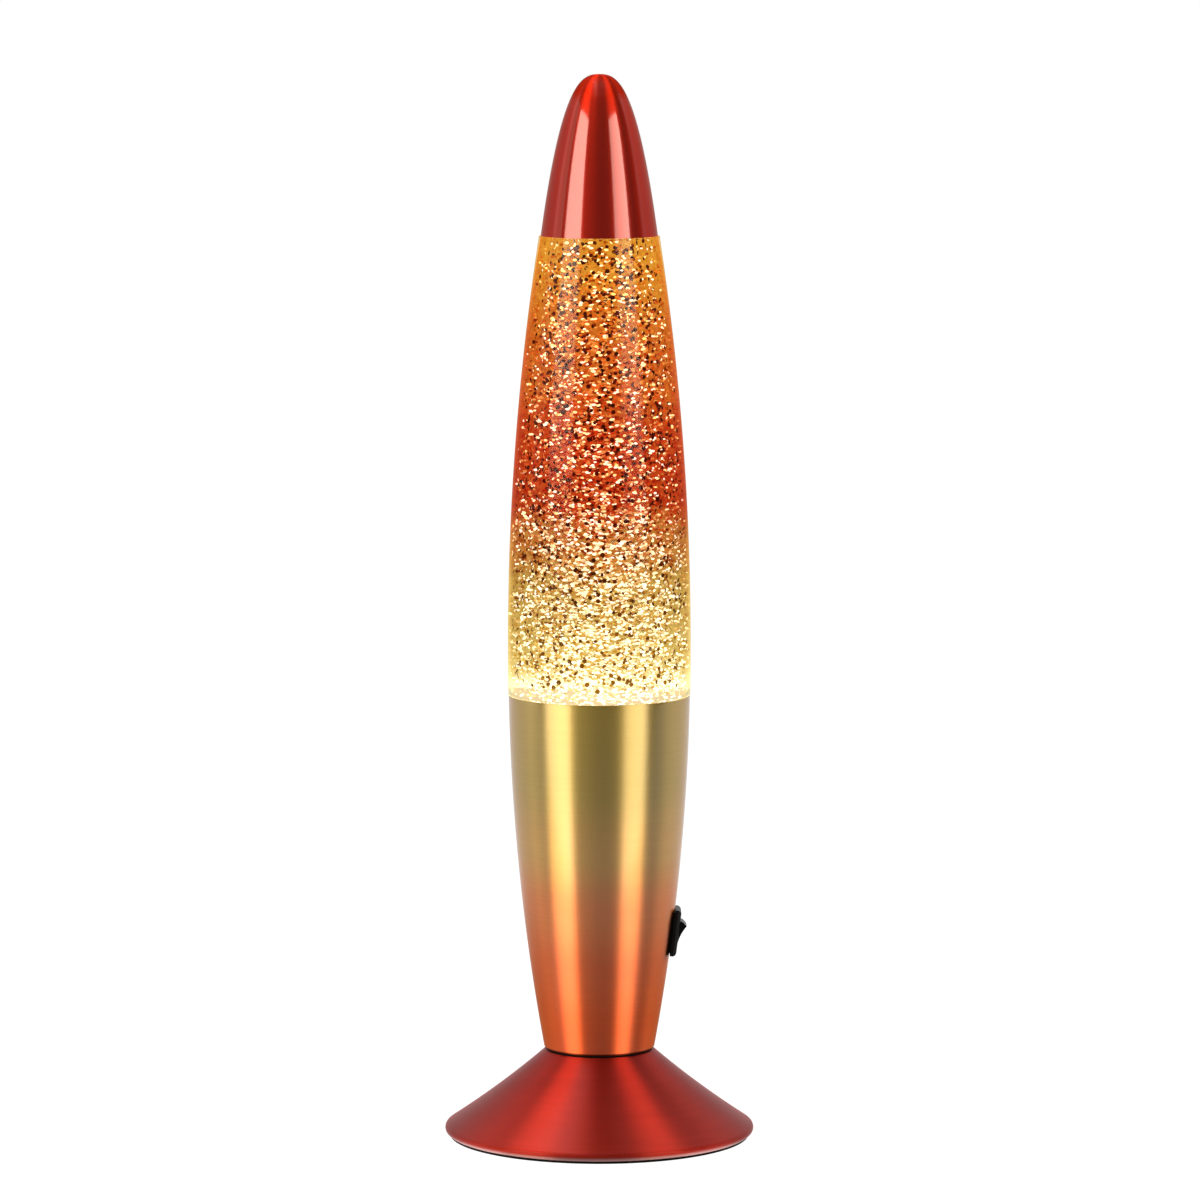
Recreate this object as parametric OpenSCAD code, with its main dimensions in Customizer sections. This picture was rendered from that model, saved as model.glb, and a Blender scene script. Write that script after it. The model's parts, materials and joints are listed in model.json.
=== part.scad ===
// Glitter lamp: a sealed glass bottle of loose glitter stands in a spun aluminium body,
// which stands on a low spun cone. A small reflector bulb in the body lights the bottle from below.
// Millimetres. +Z is up and the origin is on the table, under the lamp's axis.
// +X is the side with the switch, -Y is the front, and the cord comes in at the back (+Y).

/* [Base] */
// Radius of the base at its widest, on the rolled rim
base_r = 49.6; // [44:0.1:56]
// Height of the base's flat top above the table
base_h = 27.8; // [25:0.1:34]
// Radius of the base's flat top
base_flat_r = 17.2; // [15:0.1:18]
// Rounding between the flat top and the cone
base_top_round = 1; // [0.9:0.1:3]
// Radius of the slightly hollow curve down the cone's side
base_arc_r = 300; // [150:10:1000]
// Radius of the rolled rim
rim_roll_r = 1.6; // [1.2:0.1:2.4]
// Width of the hem that is turned in under the rim
hem_w = 5; // [3:0.5:8]
// Sheet thickness of the base
base_t = 0.8; // [0.6:0.1:1.1]
// Thickness of the foam pad under the base
pad_t = 0.8; // [0.5:0.1:3]

/* [Body] */
// Height of the body from its foot to its rim
body_h = 114.3; // [112:0.1:126]
// Radius of the body at its foot
foot_r = 17.6; // [17:0.1:20]
// Rounding of the foot
foot_round = 1; // [0.9:0.1:2]
// Radius of the long curve up the body's side
body_arc_r = 700; // [500:10:1500]
// Sheet thickness of the body
body_t = 0.8; // [0.6:0.1:0.9]
// Thickness of the black ring between the body and the base
gasket_t = 0.6; // [0.4:0.1:2]
// Outer radius of that ring
gasket_r = 16.9; // [14:0.1:17]
// Inner radius of that ring
gasket_bore_r = 11; // [10:0.5:13]

/* [Bottle] */
// Radius of the glass at the seam, where it leaves the body
seam_r = 29.05; // [27.5:0.05:32]
// How far the body's rim stands in from the glass at the seam
seam_step = 0.1; // [0:0.05:0.4]
// Height of the glass that shows, from the seam to the shoulder
bottle_h = 146.3; // [120:0.1:180]
// Radius of the shoulder, under the cap
shoulder_r = 19.1; // [18.4:0.1:21]
// Rounding of the shoulder's edge
shoulder_round = 0.5; // [0.3:0.1:0.8]
// Radius of the long curve up the glass
bottle_arc_r = 858; // [600:2:1500]
// Wall thickness of the glass
glass_t = 2.6; // [2.2:0.1:3.4]
// Thickness of the glass floor
bottle_floor_t = 4; // [3:0.1:6]
// Inside rounding between the glass floor and its wall
floor_round = 10; // [8:0.5:13]
// Inside rounding under the shoulder
shoulder_inner_round = 3; // [1:0.5:5]
// Depth of the skirt that goes down into the body
skirt_h = 10.7; // [8:0.1:12]
// Gap between the skirt and the body's wall
skirt_gap = 0.4; // [0.3:0.05:0.6]
// Rounding at the skirt's foot
skirt_round = 3; // [2:0.1:4]
// Radius of the hollow under the glass floor
punt_r = 16; // [10:0.5:20]
// Depth of that hollow
punt_h = 2; // [1:0.1:2.5]
// Outer radius of the neck
neck_r = 10.5; // [9.8:0.1:11]
// Radius of the neck's bore
neck_bore_r = 8; // [6.5:0.1:8.4]
// Height of the neck above the shoulder
neck_h = 13; // [11:0.1:15]
// Rounding at the root of the neck
neck_root_r = 2; // [1:0.1:2.5]
// Height of the liquid's surface above the shoulder, in the neck
liquid_rise = 7; // [3:0.1:8]
// Gap left between the liquid and the glass
fill_gap = 0.1; // [0.05:0.01:0.2]

/* [Glitter] */
// How many flakes are drawn
flake_n = 220; // [60:10:400]
// Radius of a six-sided flake
flake_r = 0.6; // [0.4:0.05:0.8]
// Thickness of a flake
flake_t = 0.12; // [0.08:0.01:0.2]
// How strongly the flakes gather at the bottom
flake_gather = 1.35; // [1:0.05:2]

/* [Closure] */
// Radius of the screw closure on the neck
closure_r = 12.6; // [12.2:0.1:13]
// Height of the closure's skirt
closure_h = 10.5; // [8:0.1:11]
// Thickness of the closure's top
closure_top_t = 1.8; // [1:0.1:3]
// How many grip ribs the closure has
closure_rib_n = 36; // [12:1:48]
// Radius of a grip rib
closure_rib_r = 0.5; // [0.3:0.05:0.6]
// Thickness of the seal's flange on the neck's lip
seal_t = 1.5; // [1:0.1:2.5]
// Depth of the seal's plug in the neck
seal_plug_h = 3; // [1:0.1:4]

/* [Cap] */
// Height of the cap from its rim to its tip
cap_h = 51; // [46:0.1:70]
// How far the cap's rim stands in from the shoulder
cap_setback = 0.5; // [0.4:0.1:1]
// How blunt the cap's tip is: a smaller value is blunter
cap_power = 0.375; // [0.3:0.005:0.45]
// Sheet thickness of the cap
cap_t = 0.8; // [0.6:0.1:1]
// Height of the soft ring that holds the cap on the closure
liner_h = 7; // [4:0.5:9]
// Height of that ring above the shoulder
liner_rise = 7; // [4:0.5:8]

/* [Bulb] */
// Length of the bulb from its contact to its top
bulb_l = 67; // [62:0.5:68]
// Radius of the bulb's reflector at its widest
bulb_r = 19.5; // [16:0.1:20.5]
// Radius of the bulb's screw cap
bulb_cap_r = 6.9; // [6.6:0.05:7]
// Length of the bulb's screw cap
bulb_cap_l = 19; // [17:0.5:20]
// Radius of the bulb's glass neck
bulb_neck_r = 6.45; // [5.8:0.05:6.5]
// Height on the bulb where the reflector starts to open
bulb_flare_l = 33; // [29:0.5:35]
// Height of the bulb's dome
bulb_dome_h = 15; // [8:0.5:17]
// Wall thickness of the bulb's glass
bulb_glass_t = 0.7; // [0.5:0.05:1]

/* [Lampholder] */
// Radius of the wide lower part of the ceramic holder
holder_r = 14; // [13.5:0.1:14.5]
// Radius of the slim upper part of the ceramic holder
holder_top_r = 11.5; // [10:0.1:11.8]
// Height of the wide lower part
holder_step_h = 13.3; // [12:0.1:15]
// Height of the ceramic holder
holder_h = 28; // [26:0.1:28.6]
// Thickness of the ceramic floor
holder_floor_t = 6.5; // [6:0.1:8]
// Inside radius of the brass screw shell
screw_shell_r = 7.15; // [7.05:0.05:7.3]
// Sheet thickness of the brass screw shell
screw_shell_t = 0.4; // [0.3:0.05:0.6]
// Height of the ledge that the screw shell stands on, above the ceramic floor
shell_ledge_h = 3.8; // [3:0.1:5]
// Height that the spring tongue stands up to, above the ceramic floor
tongue_rise = 2.1; // [1.5:0.1:2.8]
// Width of the spring tongue
tongue_w = 4.5; // [3:0.1:6]
// Direction of the terminals round the holder, in degrees
terminal_angle = -60; // [-75:1:-50]
// Height of the terminals above the foot of the ceramic
terminal_rise = 7.3; // [7:0.1:8]

/* [Fixings] */
// Radius of the threaded tube that joins base, body and lampholder
nipple_r = 5; // [4.5:0.1:5.4]
// Radius of the bore through that tube
nipple_bore_r = 3.5; // [3:0.1:3.9]
// Height of the brass bush that holds the tube in the ceramic
holder_bush_h = 7; // [5:0.1:7.2]
// Thickness of that bush's flange under the ceramic
holder_flange_t = 1.5; // [1:0.1:2.5]
// Thickness of the clamp nut under the base's top
nut_t = 4; // [3:0.1:6]
// Width of the nut across its flats
nut_w = 14; // [13:0.5:17]
// Outer radius of the spring washer above the nut
washer_r = 9; // [8.2:0.1:11]
// Thickness of the spring washer
washer_t = 1.2; // [0.8:0.1:2]

/* [Switch] */
// Height of the switch above the body's foot
switch_rise = 37.7; // [36.8:0.1:44]
// Length of the switch's bezel, up the body
bezel_l = 15; // [14.6:0.1:16]
// Width of the bezel
bezel_w = 10.5; // [10:0.1:11.5]
// How far the bezel stands out from the body
bezel_t = 2; // [1.8:0.1:2.4]
// Rounding of the bezel's outer edges
bezel_round = 1.3; // [0.6:0.1:1.5]
// Length of the switch housing, through the body's wall
housing_l = 13.2; // [12.6:0.1:13.4]
// Width of the switch housing
housing_w = 8.6; // [8.4:0.1:9]
// Depth of the switch housing behind the bezel
housing_d = 9.6; // [9.2:0.1:9.8]
// Reach of the end of the paddle from its hinge
paddle_reach = 4.1; // [4:0.05:4.5]
// Width of the paddle
paddle_w = 6.7; // [6:0.1:6.8]
// Swing of the paddle from one side to the other, in degrees
paddle_throw = 26; // [20:1:28]
// Depth of the hinge below the bezel's face
hinge_depth = 1.1; // [1:0.05:1.3]
// Radius of the paddle's hinge stubs
stub_r = 0.8; // [0.6:0.05:0.85]
// Length of each hinge stub
stub_l = 0.95; // [0.6:0.05:1]
// Running gap round the hinge stubs
running_gap = 0.05; // [0.02:0.01:0.08]
// Gap all round the paddle in its window
window_gap = 0.3; // [0.25:0.05:0.4]
// Swing of the contact bridge from one side to the other, in degrees
bridge_throw = 16; // [12:1:18]
// Width of a solder tag
tag_w = 3.2; // [2.4:0.1:4]
// Thickness of a solder tag
tag_t = 0.8; // [0.5:0.05:0.9]
// Length of a solder tag outside the housing
tag_l = 4; // [3:0.1:4.3]
// Radius of the insulated lead from the switch to the holder
lead_r = 0.8; // [0.6:0.05:0.9]

/* [Cord bush] */
// Height of the cord bush above the body's foot
cord_rise = 10; // [9:0.1:14]
// Radius of the bush's bore
cord_bore_r = 3.1; // [2.5:0.05:3.3]
// Half the width, across its flats, of the bush's eight-sided sleeve through the body's wall
cord_sleeve_r = 4.2; // [4:0.05:4.5]
// Radius of the bush's flange outside the body
cord_flange_r = 6; // [5.4:0.1:7]
// Thickness of the flange
cord_flange_t = 2.2; // [1.5:0.1:3]
// Length of the sleeve inside the flange
cord_sleeve_l = 3.8; // [3:0.1:4]

/* [Hidden] */
$fn = 96;

// Points along an arc, from angle a0 to a1 in n steps; the first point can be left out with from = 1
function arc(c, r, a0, a1, n, from = 0) =
    [for (i = [from:n]) let (a = a0 + (a1 - a0) * i / n) c + r * [cos(a), sin(a)]];
function reversed(l) = [for (i = [len(l) - 1:-1:0]) l[i]];
// Centre of the circle of radius r through p and the higher point q that bulges away from the axis
function bulge_centre(p, q, r) =
    let (along = (q - p) / norm(q - p), half = norm(q - p) / 2)
    (p + q) / 2 + sqrt(r * r - half * half) * [-along.y, along.x];
// Distance from the axis, at height z, of the circle with centre c and radius r
function circle_x(c, r, z) = c.x + sqrt(r * r - pow(z - c.y, 2));
function angle_to(c, p) = atan2(p.y - c.y, p.x - c.x);
// Centre, at height z, of a rounding of radius f that touches the circle (c, r) from the inside
function touch(c, r, f, z) = [circle_x(c, r - f, z), z];
// Centre of a hollow arc of radius r that touches the circles (c1, r1) and (c2, r2) on their outer side
function hollow_centre(c1, r1, c2, r2, r) = let (
    d = norm(c2 - c1), along = (c2 - c1) / d, x = (pow(r + r1, 2) - pow(r + r2, 2) + d * d) / (2 * d))
    c1 + x * along + sqrt(pow(r + r1, 2) - x * x) * [-along.y, along.x];

// Heights of the joints, one on top of the other
body_z = base_h + gasket_t;
seam_z = body_z + body_h;
shoulder_z = seam_z + bottle_h;
bottle_z = seam_z - skirt_h;
fixing_gap = 0.1;
tube_hole_r = nipple_r + fixing_gap;

// The body's side is one long arc from the foot to the rim
rim_r = seam_r - seam_step;
body_c = bulge_centre([foot_r, body_z], [rim_r, seam_z], body_arc_r);
foot_c = touch(body_c, body_arc_r, foot_round, body_z + foot_round);
foot_a = angle_to(body_c, foot_c);
function body_angle(r, z) = asin((z - body_c.y) / r);

// The glass is a second long arc, from the seam to the shoulder
bottle_c = bulge_centre([seam_r, seam_z], [shoulder_r, shoulder_z], bottle_arc_r);
shoulder_c = touch(bottle_c, bottle_arc_r, shoulder_round, shoulder_z - shoulder_round);
bore_arc_r = bottle_arc_r - glass_t;
bore_z = bottle_z + bottle_floor_t;
bore_top_z = shoulder_z - glass_t;
bore_foot_c = touch(bottle_c, bore_arc_r, floor_round, bore_z + floor_round);
bore_top_c = touch(bottle_c, bore_arc_r, shoulder_inner_round, bore_top_z - shoulder_inner_round);
neck_z = shoulder_z + neck_h;

// Inside of the bottle from the middle of its floor to height top in the neck, drawn in by g
function bore_outline(g, top) = let (a0 = angle_to(bottle_c, bore_foot_c), a1 = angle_to(bottle_c, bore_top_c)) concat(
    [[0, bore_z + g]],
    arc(bore_foot_c, floor_round - g, -90, a0, 8),
    arc(bottle_c, bore_arc_r - g, a0, a1, 32, 1),
    arc(bore_top_c, shoulder_inner_round - g, a1, 90, 6, 1),
    [[neck_bore_r - g, bore_top_z - g], [neck_bore_r - g, top]]
);

// Widest radius for a flake's centre at height z
function flake_room(z) = (z < bore_foot_c.y
    ? bore_foot_c.x + sqrt(pow(floor_round, 2) - pow(bore_foot_c.y - z, 2))
    : circle_x(bottle_c, bore_arc_r, z)) - 2 * flake_r;

// The closure and the seal on the neck's lip
closure_bore_r = neck_r + 0.3;
closure_z = neck_z + seal_t - closure_h;

// The cap's rim and the hollow inside it
cap_rim_r = shoulder_r - cap_setback;
cap_z = shoulder_z;
function nose(r, h, n) = [for (i = [0:n]) let (s = 1 - i / n) [r * s, h * (1 - pow(s, 1 / cap_power))]];
function cap_inner_r(h) = (cap_rim_r - cap_t) * pow(1 - h / (cap_h - cap_t), cap_power);

// The lampholder stands on the body's floor, and the bulb stands on the tongue in it
floor_z = body_z + body_t;
ceramic_z = floor_z + holder_flange_t;
well_z = ceramic_z + holder_floor_t;
holder_z = ceramic_z + holder_h;
shell_z = well_z + shell_ledge_h;
contact_gap = 0.2;
bulb_z = well_z + tongue_rise + contact_gap;
bush_sleeve_r = nipple_r + 1.2;
terminal_z = ceramic_z + terminal_rise;
terminal_h = 5.5;
terminal_d = 2.5;
terminal_screw_r = 1.2;
terminal_head_r = 2;
terminal_head_h = 1.2;
terminal_slot_w = 0.5;
terminal_w = 5.6;
terminal_in_r = holder_r - 2.7;
terminal_pos_r = terminal_in_r + terminal_d / 2;

// The bulb's parts, measured from its contact
bulb_contact_h = 1.2;
bulb_insulator_h = 2.6;
bulb_shell_l = bulb_contact_h + bulb_insulator_h;
bulb_wide_l = bulb_l - bulb_dome_h;
bulb_neck_l = bulb_shell_l + bulb_cap_l - 8;
stem_top_l = bulb_flare_l + 2;
filament_l = bulb_wide_l - 3;
filament_r = 5;
support_r = 0.35;
support_foot_r = 1.2;
support_rise = 1.5;

// The switch's frame: u out of the wall, w along +Y, v up the wall
switch_z = body_z + switch_rise;
bezel_gap = 0.05;
switch_x = circle_x(body_c, body_arc_r, switch_z) + bezel_gap;
switch_tilt = -angle_to(body_c, [switch_x, switch_z]);
function switch_point(u, w, v) =
    [switch_x + u * cos(switch_tilt) + v * sin(switch_tilt), w, switch_z - u * sin(switch_tilt) + v * cos(switch_tilt)];
hinge_u = bezel_t - hinge_depth;
window_l = 2 * (paddle_reach + window_gap);
window_w = paddle_w + 2 * window_gap;
housing_floor_t = 1.2;
stem_l = 4.2;
stem_v = 3;
stem_w = 3.4;
plunger_r = 0.9;
plunger_reach = 5.4;
plunger_l = 2.6;
plunger_gap = 0.25;
bridge_t = 0.4;
bridge_l = 7.2;
bridge_w = 2.8;
bridge_pin_r = 0.5;
bridge_u = hinge_u - plunger_reach - plunger_gap - bridge_t - 0.3;
rivet_v = 2.9;
rivet_r = 0.75;
rivet_h = 0.4;
tag_v = 3.9;
tag_end_u = -housing_d - tag_l;

// The cord bush's frame, at the back
cord_z = body_z + cord_rise;
cord_x = circle_x(body_c, body_arc_r, cord_z);
cord_tilt = -angle_to(body_c, [cord_x, cord_z]);

module at_switch() translate([switch_x, 0, switch_z]) rotate([0, switch_tilt, 0]) children();
module at_hinge() at_switch() translate([hinge_u, 0, 0]) rotate([0, paddle_throw / 2, 0]) children();
module at_bridge() at_switch() translate([bridge_u, 0, 0]) rotate([0, -bridge_throw / 2, 0]) children();
module at_cord() rotate([0, 0, 90]) translate([cord_x + bezel_gap, 0, cord_z]) rotate([0, cord_tilt, 0]) children();
// A shape drawn in (u, v) becomes a bar of width w across the switch
module across(w) rotate([90, 0, 0]) linear_extrude(w, center = true) children();
// An eight-sided bar, r from its axis to its flats
module octagon(r, h) cylinder(r = r / cos(22.5), h = h, $fn = 8);
// A straight rod between two points
module rod(p, q, r) {
    d = q - p;
    translate(p) rotate([0, acos(d.z / norm(d)), atan2(d.y, d.x)]) cylinder(r = r, h = norm(d));
}

// Points of a smooth curve through the points of l, n to each step
function curve(l, n) = concat([for (i = [0:len(l) - 2], k = [0:n - 1]) let (
    t = k / n, a = l[max(i - 1, 0)], b = l[i], c = l[i + 1], d = l[min(i + 2, len(l) - 1)])
    0.5 * (2 * b + (c - a) * t + (2 * a - 5 * b + 4 * c - d) * t * t + (3 * b - a - 3 * c + d) * t * t * t)],
    [l[len(l) - 1]]);
// Round wire along the points of l; side is a direction that the wire never runs along
module wire(l, r, side, m = 8) {
    n = len(l);
    rings = [for (i = [0:n - 1]) let (
        t = l[min(i + 1, n - 1)] - l[max(i - 1, 0)], x = cross(t, side) / norm(cross(t, side)), y = cross(t, x) / norm(t))
        for (k = [0:m - 1]) l[i] + r * (cos(360 * k / m) * x + sin(360 * k / m) * y)];
    polyhedron(rings, concat(
        [[for (k = [0:m - 1]) m - 1 - k]],
        [for (i = [0:n - 2], k = [0:m - 1]) [i * m + k, i * m + (k + 1) % m, (i + 1) * m + (k + 1) % m, (i + 1) * m + k]],
        [[for (k = [0:m - 1]) (n - 1) * m + k]]));
}

// Black foam pad that closes the base and rests on the table
module base_pad() color("#161616") cylinder(r = base_r - rim_roll_r, h = pad_t);

// Spun, slightly hollow cone with a rolled rim, a hem turned in under it and a flat top
module base_shell() {
    top_c = [base_flat_r, base_h - base_top_round];
    rim_c = [base_r - rim_roll_r, pad_t + rim_roll_r];
    side_c = hollow_centre(top_c, base_top_round, rim_c, rim_roll_r, base_arc_r);
    top_a = angle_to(top_c, side_c);
    rim_a = angle_to(rim_c, side_c);
    color("#a02c24") rotate_extrude() polygon(concat(
        [[tube_hole_r, base_h]],
        arc(top_c, base_top_round, 90, top_a, 5),
        arc(side_c, base_arc_r, 180 + top_a, 180 + rim_a, 16, 1),
        arc(rim_c, rim_roll_r, rim_a, -90, 14, 1),
        [[rim_c.x - hem_w, pad_t], [rim_c.x - hem_w, pad_t + base_t]],
        arc(rim_c, max(rim_roll_r - base_t, 0.1), -90, rim_a, 14),
        arc(side_c, base_arc_r + base_t, 180 + rim_a, 180 + top_a, 16, 1),
        arc(top_c, max(base_top_round - base_t, 0.05), top_a, 90, 5, 1),
        [[tube_hole_r, base_h - base_t]]));
}

// Black ring that keeps the body off the base
module joint_gasket() color("#101010") translate([0, 0, base_h]) difference() {
    cylinder(r = gasket_r, h = gasket_t);
    translate([0, 0, -1]) cylinder(r = gasket_bore_r, h = gasket_t + 2);
}

// Spun cup on one long arc, cut through for the switch and the cord bush
module body_shell() {
    inner_r = body_arc_r - body_t;
    color("#c08a3c") difference() {
        rotate_extrude() polygon(concat(
            [[tube_hole_r, body_z]],
            arc(foot_c, foot_round, -90, foot_a, 6),
            arc(body_c, body_arc_r, foot_a, body_angle(body_arc_r, seam_z), 32, 1),
            arc(body_c, inner_r, body_angle(inner_r, seam_z), foot_a, 32),
            arc(foot_c, max(foot_round - body_t, 0.05), foot_a, -90, 6),
            [[tube_hole_r, floor_z]]));
        at_switch() translate([-5, -housing_w / 2 - fixing_gap, -housing_l / 2 - fixing_gap])
            cube([8, housing_w + 2 * fixing_gap, housing_l + 2 * fixing_gap]);
        at_cord() rotate([0, 90, 0]) translate([0, 0, -5]) octagon(cord_sleeve_r + fixing_gap, 8);
    }
}

// Hollow threaded tube that clamps base, gasket, body and holder together
module threaded_nipple() color("#b9b9b4") {
    foot = base_h - base_t - washer_t - nut_t - 1.5;
    translate([0, 0, foot]) difference() {
        cylinder(r = nipple_r, h = floor_z + holder_bush_h - 0.5 - foot);
        translate([0, 0, -1]) cylinder(r = nipple_bore_r, h = floor_z + holder_bush_h - foot + 2);
    }
}

// Spring washer with its split, above the nut
module spring_washer() color("#a8a8a4") translate([0, 0, base_h - base_t - washer_t]) difference() {
    cylinder(r = washer_r, h = washer_t);
    translate([0, 0, -1]) cylinder(r = tube_hole_r, h = washer_t + 2);
    translate([nipple_r - 1, -0.5, -1]) cube([washer_r, 1, washer_t + 2]);
}

// Hexagon nut on the tube's lower end
module clamp_nut() color("#b9b9b4") translate([0, 0, base_h - base_t - washer_t - nut_t]) difference() {
    cylinder(r = nut_w / sqrt(3), h = nut_t, $fn = 6);
    translate([0, 0, -1]) cylinder(r = nipple_r + running_gap, h = nut_t + 2);
}

// Flanged brass bush in the ceramic's foot, threaded on the tube
module holder_bush() color("#c2a24a") translate([0, 0, floor_z]) difference() {
    union() {
        cylinder(r = bush_sleeve_r + 2.4, h = holder_flange_t);
        cylinder(r = bush_sleeve_r, h = holder_bush_h);
    }
    translate([0, 0, -1]) cylinder(r = nipple_r + running_gap, h = holder_bush_h + 2);
}

// Where a terminal sits on the holder: k is 0 or 1, for the two sides
module at_terminal(k) rotate([0, 0, terminal_angle + 180 * k]) translate([terminal_in_r, 0, terminal_z]) children();

// Stepped ceramic body with a well for the screw shell and two open terminal pockets
module holder_body() color("#ece8dc") difference() {
    translate([0, 0, ceramic_z]) union() {
        cylinder(r = holder_r, h = holder_step_h);
        cylinder(r = holder_top_r, h = holder_h);
    }
    translate([0, 0, ceramic_z - 1]) cylinder(r = bush_sleeve_r + fixing_gap, h = holder_floor_t + 2);
    translate([0, 0, well_z]) cylinder(r = screw_shell_r, h = holder_h);
    translate([0, 0, shell_z]) cylinder(r = screw_shell_r + screw_shell_t + fixing_gap, h = holder_h);
    for (k = [0:1]) at_terminal(k) translate([-0.2, -terminal_w / 2 - 0.4, -0.2]) cube([6, terminal_w + 0.8, 9]);
}

// Rolled brass shell that the bulb screws into, drawn as a plain tube at the thread's crest
module holder_screw_shell() color("#cfae52") translate([0, 0, shell_z]) difference() {
    cylinder(r = screw_shell_r + screw_shell_t, h = holder_z - shell_z - 1.2);
    translate([0, 0, -1]) cylinder(r = screw_shell_r, h = holder_h);
}

// Bent spring tongue under the bulb's contact
module holder_tongue() color("#cfae52") translate([0, 0, well_z]) across(tongue_w) polygon([
    [screw_shell_r - 1.6, 0], [screw_shell_r - 1.6, 0.5], [bush_sleeve_r - 1.2, 0.5], [2, tongue_rise],
    [-2.4, tongue_rise], [-2.4, tongue_rise - 0.5], [1.8, tongue_rise - 0.5], [bush_sleeve_r - 1.5, 0]
]);

// Two brass blocks in the holder's pockets
module holder_terminals() color("#cfae52") for (k = [0:1]) at_terminal(k) difference() {
    translate([0, -terminal_w / 2, 0]) cube([terminal_d, terminal_w, terminal_h]);
    translate([-1, 0, terminal_h / 2]) rotate([0, 90, 0]) cylinder(r = terminal_screw_r + 0.05, h = terminal_d + 2);
}

// The two slotted screws in those blocks
module terminal_screws() color("#b4b4ae") for (k = [0:1]) at_terminal(k) translate([0, 0, terminal_h / 2])
    rotate([0, 90, 0]) difference() {
        union() {
            cylinder(r = terminal_screw_r, h = terminal_d + 0.1);
            translate([0, 0, terminal_d]) cylinder(r = terminal_head_r, h = terminal_head_h);
        }
        translate([-terminal_slot_w / 2, -terminal_head_r - 1, terminal_d + terminal_head_h / 2])
            cube([terminal_slot_w, 2 * terminal_head_r + 2, terminal_head_h]);
    }

// Outline, in (u, v), of a bar that is flat at the wall and rounded at its outer edges
module rounded_bar(half) polygon(concat(
    [[0, -half]], arc([bezel_t - bezel_round, -half + bezel_round], bezel_round, -90, 0, 6),
    arc([bezel_t - bezel_round, half - bezel_round], bezel_round, 0, 90, 6), [[0, half]]));

// Snap-in housing: rounded bezel, box with a floor, window for the paddle and side wings
module switch_housing() color("#161616") at_switch() difference() {
    union() {
        intersection() {
            across(bezel_w) rounded_bar(bezel_l / 2);
            rotate([90, 0, 0]) across(bezel_l) rounded_bar(bezel_w / 2);
        }
        translate([-housing_d, -housing_w / 2, -housing_l / 2]) cube([housing_d + 0.2, housing_w, housing_l]);
        for (s = [-1, 1]) across(5) polygon(
            [[-1.2, s * (housing_l / 2 - 0.2)], [-1.2, s * (housing_l / 2 + 0.6)], [-5, s * (housing_l / 2 - 0.2)]]);
    }
    translate([housing_floor_t - housing_d, -window_w / 2, -window_l / 2]) cube([housing_d + 5, window_w, window_l]);
    translate([hinge_u, 0, 0]) rotate([90, 0, 0])
        cylinder(r = stub_r + running_gap, h = paddle_w + 2 * stub_l + 2 * fixing_gap, center = true);
    for (v = [0, tag_v]) translate([-housing_d - 1, -tag_w / 2 - 0.05, v - tag_t / 2 - 0.05])
        cube([4, tag_w + 0.1, tag_t + 0.1]);
}

// Middle tag with the pin that the bridge rocks on, and upper tag with the fixed contact
module switch_terminals() color("#c9b06a") at_switch() {
    translate([tag_end_u, -tag_w / 2, -tag_t / 2]) cube([bridge_u - tag_end_u, tag_w, tag_t]);
    translate([bridge_u, 0, 0]) rotate([90, 0, 0]) cylinder(r = bridge_pin_r, h = tag_w, center = true);
    drop = bridge_l / 2 * sin(bridge_throw / 2);
    contact_u = bridge_u - drop - rivet_h - 0.25;
    translate([tag_end_u, -tag_w / 2, tag_v - tag_t / 2]) cube([contact_u - tag_end_u, tag_w, tag_t]);
    translate([contact_u - 0.5, -tag_w / 2, rivet_v - rivet_r]) cube([0.5, tag_w, tag_v + tag_t / 2 - rivet_v + rivet_r]);
}

// Insulated lead from the upper tag, down past the housing to the front terminal
module switch_lead() {
    from = switch_point(tag_end_u + 0.6 * tag_l, -tag_w / 2 - lead_r - fixing_gap, tag_v);
    side = [cos(terminal_angle), sin(terminal_angle), 0];
    to = terminal_pos_r * side + [0, 0, terminal_z + terminal_h + fixing_gap];
    low = (terminal_pos_r + 0.6) * side + [0, 0, to.z + 5];
    color("#7a1f1a") wire(curve([
        from, from + [0.3, -2.2, -0.4], from + [1.6, -5.2, -4], [low.x + 3.4, low.y - 0.6, (from.z + low.z) / 2 - 1], low, to
    ], 5), lead_r, [1, 0.6, 0.1]);
}

// Flanged rubber bush in the body's back wall: its flats stop it turning, and a collar holds it from inside
module cord_bush() color("#141414") at_cord() rotate([0, 90, 0]) difference() {
    union() {
        rotate_extrude() polygon(concat([[0, 0], [cord_flange_r, 0]],
            arc([cord_flange_r - 1, cord_flange_t - 1], 1, 0, 90, 5), [[0, cord_flange_t]]));
        translate([0, 0, -cord_sleeve_l]) octagon(cord_sleeve_r, cord_sleeve_l + 0.2);
        translate([0, 0, -cord_sleeve_l]) cylinder(r1 = cord_sleeve_r, r2 = cord_sleeve_r + 0.8, h = 1.6);
    }
    translate([0, 0, -cord_sleeve_l - 1]) cylinder(r = cord_bore_r, h = cord_sleeve_l + cord_flange_t + 2);
}

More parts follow.
